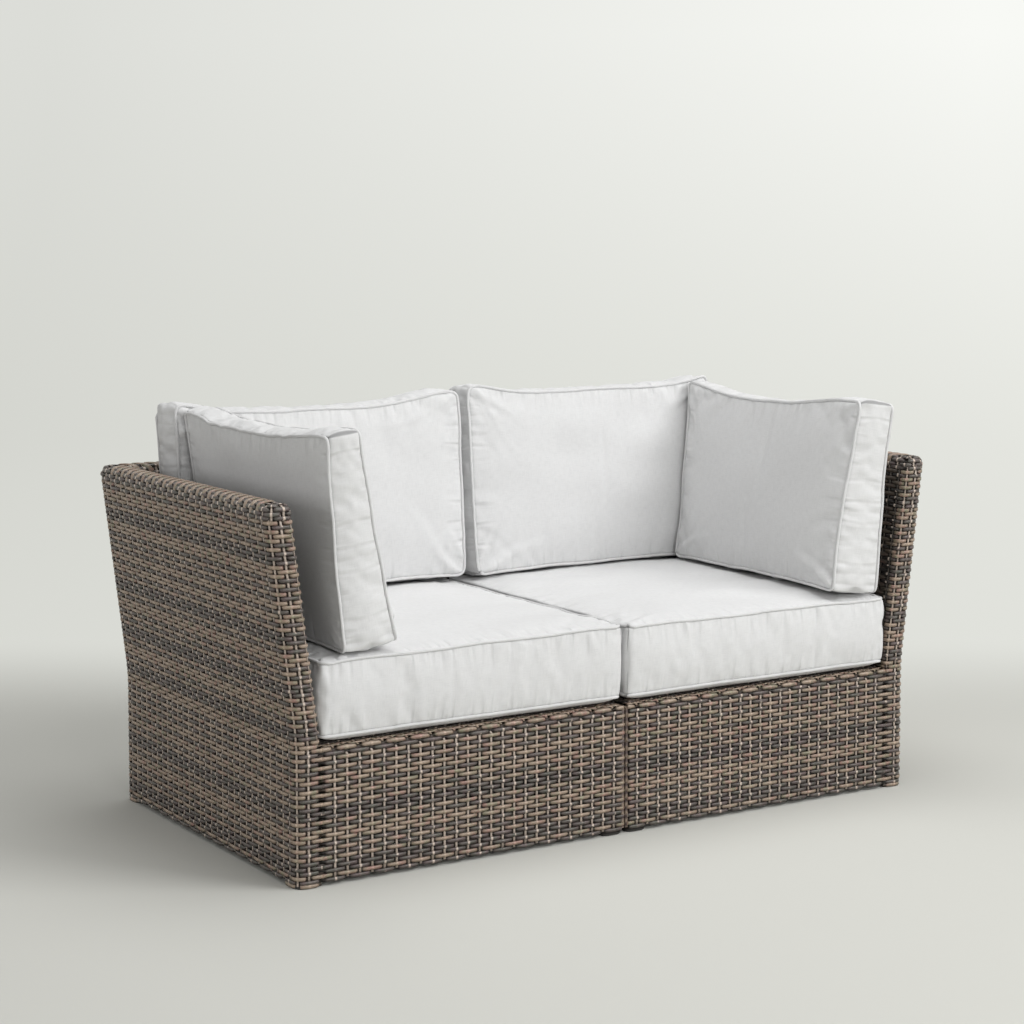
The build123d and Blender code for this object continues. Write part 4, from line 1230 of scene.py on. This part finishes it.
def placeFor(kindName, side):
    # The cushion's own axes in the frame, across, along and out, and the middle of its rest face
    sign = 1 if side == "right" else -1
    middleX, middleUp = standing[kindName + "Middle"]
    if kindName == "seat":
        middle = (sign * (seam + standing["seatSeamGap"] + middleX),
                  front + standing["seatFrontGap"] + middleUp, standing["seatRest"])
        return np.array([sign, 0, 0]), np.array([0, 1, 0]), np.array([0, 0, 1]), np.array(middle)
    foot = standing["seatWelt"] + standing[kindName + "FootGap"][side]
    if kindName == "back":
        lean = math.radians(standing["backLean"])
        restY = innerBack - standing["backWallGap"] - (standing["backTop"] - foot) * math.tan(lean)
        footX = sign * (seam + standing["backSeamGap"][side] + middleX)
        up = np.array([0, math.sin(lean), math.cos(lean)])
        out = np.array([0, -math.cos(lean), math.sin(lean)])
        return np.array([1, 0, 0]), up, out, np.array([footX, restY, foot]) + up * middleUp
    slope = math.atan(module["slope"])
    footX = innerSide + float(leanAt(np.array(foot))) - standing["sideWallGap"][side]
    up = np.array([sign * math.sin(slope), 0, math.cos(slope)])
    out = np.array([-sign * math.cos(slope), 0, math.sin(slope)])
    return np.array([0, -1, 0]), up, out, np.array([sign * footX, middleX, foot]) + up * middleUp


def shapeCushion(kind, seed):
    fine = boxGrid(kind, cushionShape["cell"], True)
    start = cushionShape["startCrown"]
    coarse = boxGrid(kind, cushionShape["clothCell"], False)
    movement = blowUp(kind, coarse, plainCushion(kind, coarse, start))
    points = plainCushion(kind, fine, start) + sampleMovement(coarse, movement, fine)
    points = wanderSeams(kind, fine, points, seed)
    return fine, addFolds(kind, fine, points, seed + 7)


def makeCushion(kindName, side, seed):
    name = f"{side}_{kindName}"
    kind = {**cushionKinds[kindName], **cushionFits[name]}
    grid, points = shapeCushion(kind, seed)
    across, along, out, middle = placeFor(kindName, side)
    axes = np.stack([across, along, out])
    world = middle + points @ axes
    faces = grid["faces"] if np.linalg.det(axes) > 0 else grid["faces"][:, ::-1]
    cover = meshObject(f"{name}_cushion_cover", world, faces.tolist(), canvas)
    clothUv(kind, grid, cover.data)
    distance, metres, _ = seamDistance(kind, grid)
    corner = np.abs(metres - (kind["width"] + kind["length"]))
    distance = np.where(grid["zone"] == 2, np.minimum(distance, corner), distance)
    distance = distance + canvasLook["creaseLength"] * (1 - clearOfMitre(kind, grid, distance))
    addFact(cover.data, "seamDistance", distance)
    addFact(cover.data, "seamPlace", metres)
    piping = makePiping(f"{name}_cushion_piping", (grid["loops"][0], grid["loops"][-1]), world,
                        pointNormals(world, faces))
    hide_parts(f"{name}_cushion")
    for piece in (cover, piping):
        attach(piece, f"{name}_cushion")


def makePiping(name, loops, world, normals, sides=8):
    # Cords along both seams, each a little proud of the valley that it is sewn into
    radius, proud = cushionShape["pipingRadius"], cushionShape["groove"] * cushionShape["pipingProud"]
    cords, cordFaces, cordUvs, shift = [], [], [], 0
    for loop in loops:
        run = np.concatenate([[0], np.cumsum(np.linalg.norm(np.diff(world[loop], axis=0), axis=1))])
        at = np.linspace(0, run[-1], round(run[-1] / cushionShape["cordStep"]), endpoint=False)
        line, outward = (np.stack([np.interp(at, run, field[loop][:, i]) for i in range(3)], 1)
                         for field in (world, normals))
        for _ in range(3):
            line, outward = ((np.roll(field, 1, 0) + 2 * field + np.roll(field, -1, 0)) / 4
                             for field in (line, outward))
        outward /= np.linalg.norm(outward, axis=1)[:, None]
        cord, quads = pipingAlong(line + outward * proud, outward, radius, sides)
        cords.append(cord)
        cordFaces.append(quads + shift)
        shift += len(cord)
        around = np.tile(np.arange(sides) * cushionShape["pipingFlat"], len(at))
        cordUvs.append(np.column_stack([np.repeat(at, sides), around]))
    piping = meshObject(name, np.concatenate(cords), np.concatenate(cordFaces).tolist(), pipingCanvas)
    addFact(piping.data, "seamDistance", np.full(shift, canvasLook["valleyWidth"]))
    corners = np.zeros(len(piping.data.loops), int)
    piping.data.loops.foreach_get("vertex_index", corners)
    uvs = np.concatenate(cordUvs)[corners].astype(np.float32)
    piping.data.uv_layers.new(name="cloth").data.foreach_set("uv", uvs.ravel())
    return piping


for side, firstSeed in (("right", 20), ("left", 60)):
    for number, kindName in enumerate(("seat", "back", "side")):
        makeCushion(kindName, side, firstSeed + number * 5)
        report(f"{side} {kindName} cushion")

# What stays from the CAD: clips and glides are moulded, panels lie in shade, and the rest is tube
for name, node in nodes.items():
    if node.hide_render:
        continue
    finish = sheetInShade if "panel" in name else tube
    if name == "joining_clips" or name.endswith("glides"):
        finish = moulded
    node.data.materials.clear()
    node.data.materials.append(finish)
report("frame finishes")

# Pale paper studio: the floor, the four corners of the glowing wall behind, whose colours paint its light
# brighter
# # towards the upper right, soft light, and in metres the size of the wall and how far beyond and around the
# object it takes over from the floor
studio = {
    "floor": "#D1D1CB", "lowLeft": "#D4D5CF", "lowRight": "#E5E6E0", "highLeft": "#DCDDD8",
    "highRight": "#F8F9F5", "air": "#FFFFFE", "ambient": 0.32, "wallWidth": 5.8, "wallHeight": 2.3,
    "paperNear": 0.65, "paperFar": 1.7, "roundNear": 1.9, "roundFar": 3.6,
    "awayFromCamera": (0.534, 0.845, 0.3), "rightOfCamera": (0.845, -0.535, 0.0),
}
# Metres in front of the object and behind it, and the turn that faces the camera
backdrop = {"front": -14.0, "wall": 7.0, "curve": 3.0, "top": 14.0, "halfWidth": 24.0, "turn": -32.3}
# Softboxes shine at a point on the object's middle line
lamps = {
    "keySoftbox": {"size": (3.2, 2.6), "power": 193.0, "place": (3.1, -4.1, 4.3), "aimHeight": 0.4},
    "frontSoftbox": {"size": (4.0, 3.0), "power": 88.0, "place": (-0.3, -5.5, 2.4), "aimHeight": 0.4},
    "leftSoftbox": {"size": (3.0, 1.5), "power": 28.0, "place": (-4.5, 0.3, 1.1), "aimHeight": 0.5},
    "topSoftbox": {"size": (3.0, 2.0), "power": 48.0, "place": (0.2, 0.1, 3.6), "aimHeight": 0.4},
}
# Camera as solved from the photograph: lens in millimetres, turns in degrees
view = {"lens": 80.75, "sensor": 36.0, "shiftUp": -0.1139, "place": (-2.4936, -3.9132, 1.1885),
        "down": 4.584, "turn": -32.319}


def seenDirectly(add):
    # 1 where the camera, a reflection or glass looks, 0 where light bounces
    path = add("ShaderNodeLightPath").outputs
    seen = add("ShaderNodeMath", [path["Is Camera Ray"], path["Is Glossy Ray"]], operation="MAXIMUM")
    return add("ShaderNodeMath", [seen, path["Is Transmission Ray"]], operation="MAXIMUM")


def stageMaterial():
    # Matte studio paper. Far behind the object and far off all round, the camera sees a glowing wall of it,
    #     # its light painted in, even but brighter towards the upper right, while the object is lit by the
    #     paper's own colour.
    material, tree, surface, add = newMaterial(
        "matteStudioPaper", Roughness=1.0, Specular_IOR_Level=0.0, Base_Color=hexToLinear(studio["floor"]))
    place = add("ShaderNodeTexCoord").outputs["Object"]
    behind, right = (add("ShaderNodeVectorMath", [place, studio[way]], operation="DOT_PRODUCT")
                     for way in ("awayFromCamera", "rightOfCamera"))
    around = add("ShaderNodeVectorMath", [place], operation="LENGTH")
    shares = [
        add("ShaderNodeMapRange", {"Value": value.outputs["Value"], "From Min": studio[near],
                                   "From Max": studio[far]}, interpolation_type="SMOOTHSTEP")
        for value, near, far in ((behind, "paperNear", "paperFar"), (around, "roundNear", "roundFar"))]
    share = add("ShaderNodeMath", shares, operation="MAXIMUM")
    share = add("ShaderNodeMath", [share, seenDirectly(add)], operation="MULTIPLY")
    # Right and up on the wall, as the camera sees it, for the light painted across it
    across = add("ShaderNodeMapRange", {
        "Value": right.outputs["Value"], "From Min": -studio["wallWidth"] / 2,
        "From Max": studio["wallWidth"] / 2})
    upward = add("ShaderNodeMapRange", {
        "Value": add("ShaderNodeSeparateXYZ", [place]).outputs["Z"], "From Max": studio["wallHeight"]})
    low, high = (
        add("ShaderNodeMix", {0: across, 6: hexToLinear(studio[left]), 7: hexToLinear(studio[right])},
            data_type="RGBA")
        for left, right in (("lowLeft", "lowRight"), ("highLeft", "highRight")))
    colour = add("ShaderNodeMix", {0: upward, 6: low, 7: high}, data_type="RGBA")
    wall = add("ShaderNodeEmission", {"Color": colour, "Strength": 1.0})
    mix = add("ShaderNodeMixShader", [share, surface, wall])
    fillInputs(tree, tree.nodes["Material Output"], {"Surface": mix})
    return material


def addStage():
    # A plain floor that curves up into a wall far behind
    wall, curve = backdrop["wall"], backdrop["curve"]
    profile = [(backdrop["front"], 0.0), (wall, 0.0)]
    profile += [(wall + curve * math.sin(angle), curve - curve * math.cos(angle))
                for angle in np.linspace(0.1, math.pi / 2, 14)]
    profile += [(wall + curve, backdrop["top"])]
    cosine, sine = (turn(math.radians(backdrop["turn"])) for turn in (math.cos, math.sin))
    points = [(x * cosine - y * sine, x * sine + y * cosine, z)
              for x in (-backdrop["halfWidth"], backdrop["halfWidth"]) for y, z in profile]
    count = len(profile)
    faces = [[i, count + i, count + i + 1, i + 1] for i in range(count - 1)]
    meshObject("studioBackdrop", points, faces, stageMaterial())


def addWorld():
    # Soft light from all round. The camera sees pale paper there instead.
    world = bpy.data.worlds.new("studioAir")
    world.use_nodes = True
    bpy.context.scene.world = world
    tree = world.node_tree
    add = partial(addNode, tree)
    air = tree.nodes["Background"]
    fillInputs(tree, air, {"Color": hexToLinear(studio["air"]), "Strength": studio["ambient"]})
    paper = add("ShaderNodeBackground", {"Color": hexToLinear(studio["lowLeft"]), "Strength": 1.0})
    mix = add("ShaderNodeMixShader", [seenDirectly(add), air, paper])
    fillInputs(tree, tree.nodes["World Output"], {"Surface": mix})


def addLamp(name, size, power, place, aimHeight):
    light = bpy.data.lights.new(name, "AREA")
    light.shape = "RECTANGLE"
    light.size, light.size_y = size
    light.energy = power
    lamp = bpy.data.objects.new(name, light)
    lamp.location = place
    way = Vector((0.0, 0.0, aimHeight)) - Vector(place)
    lamp.rotation_euler = way.to_track_quat("-Z", "Y").to_euler()
    bpy.context.scene.collection.objects.link(lamp)


def addCamera():
    data = bpy.data.cameras.new("catalogueCamera")
    data.lens, data.sensor_width, data.shift_y = view["lens"], view["sensor"], view["shiftUp"]
    camera = bpy.data.objects.new("catalogueCamera", data)
    camera.location = view["place"]
    camera.rotation_euler = (math.radians(90 - view["down"]), 0.0, math.radians(view["turn"]))
    bpy.context.scene.collection.objects.link(camera)
    bpy.context.scene.camera = camera


addStage()
addWorld()
for name, lamp in lamps.items():
    addLamp(name, **lamp)
addCamera()

bpy.context.scene.view_settings.view_transform = "Standard"
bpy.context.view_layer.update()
report("stage, light and camera")
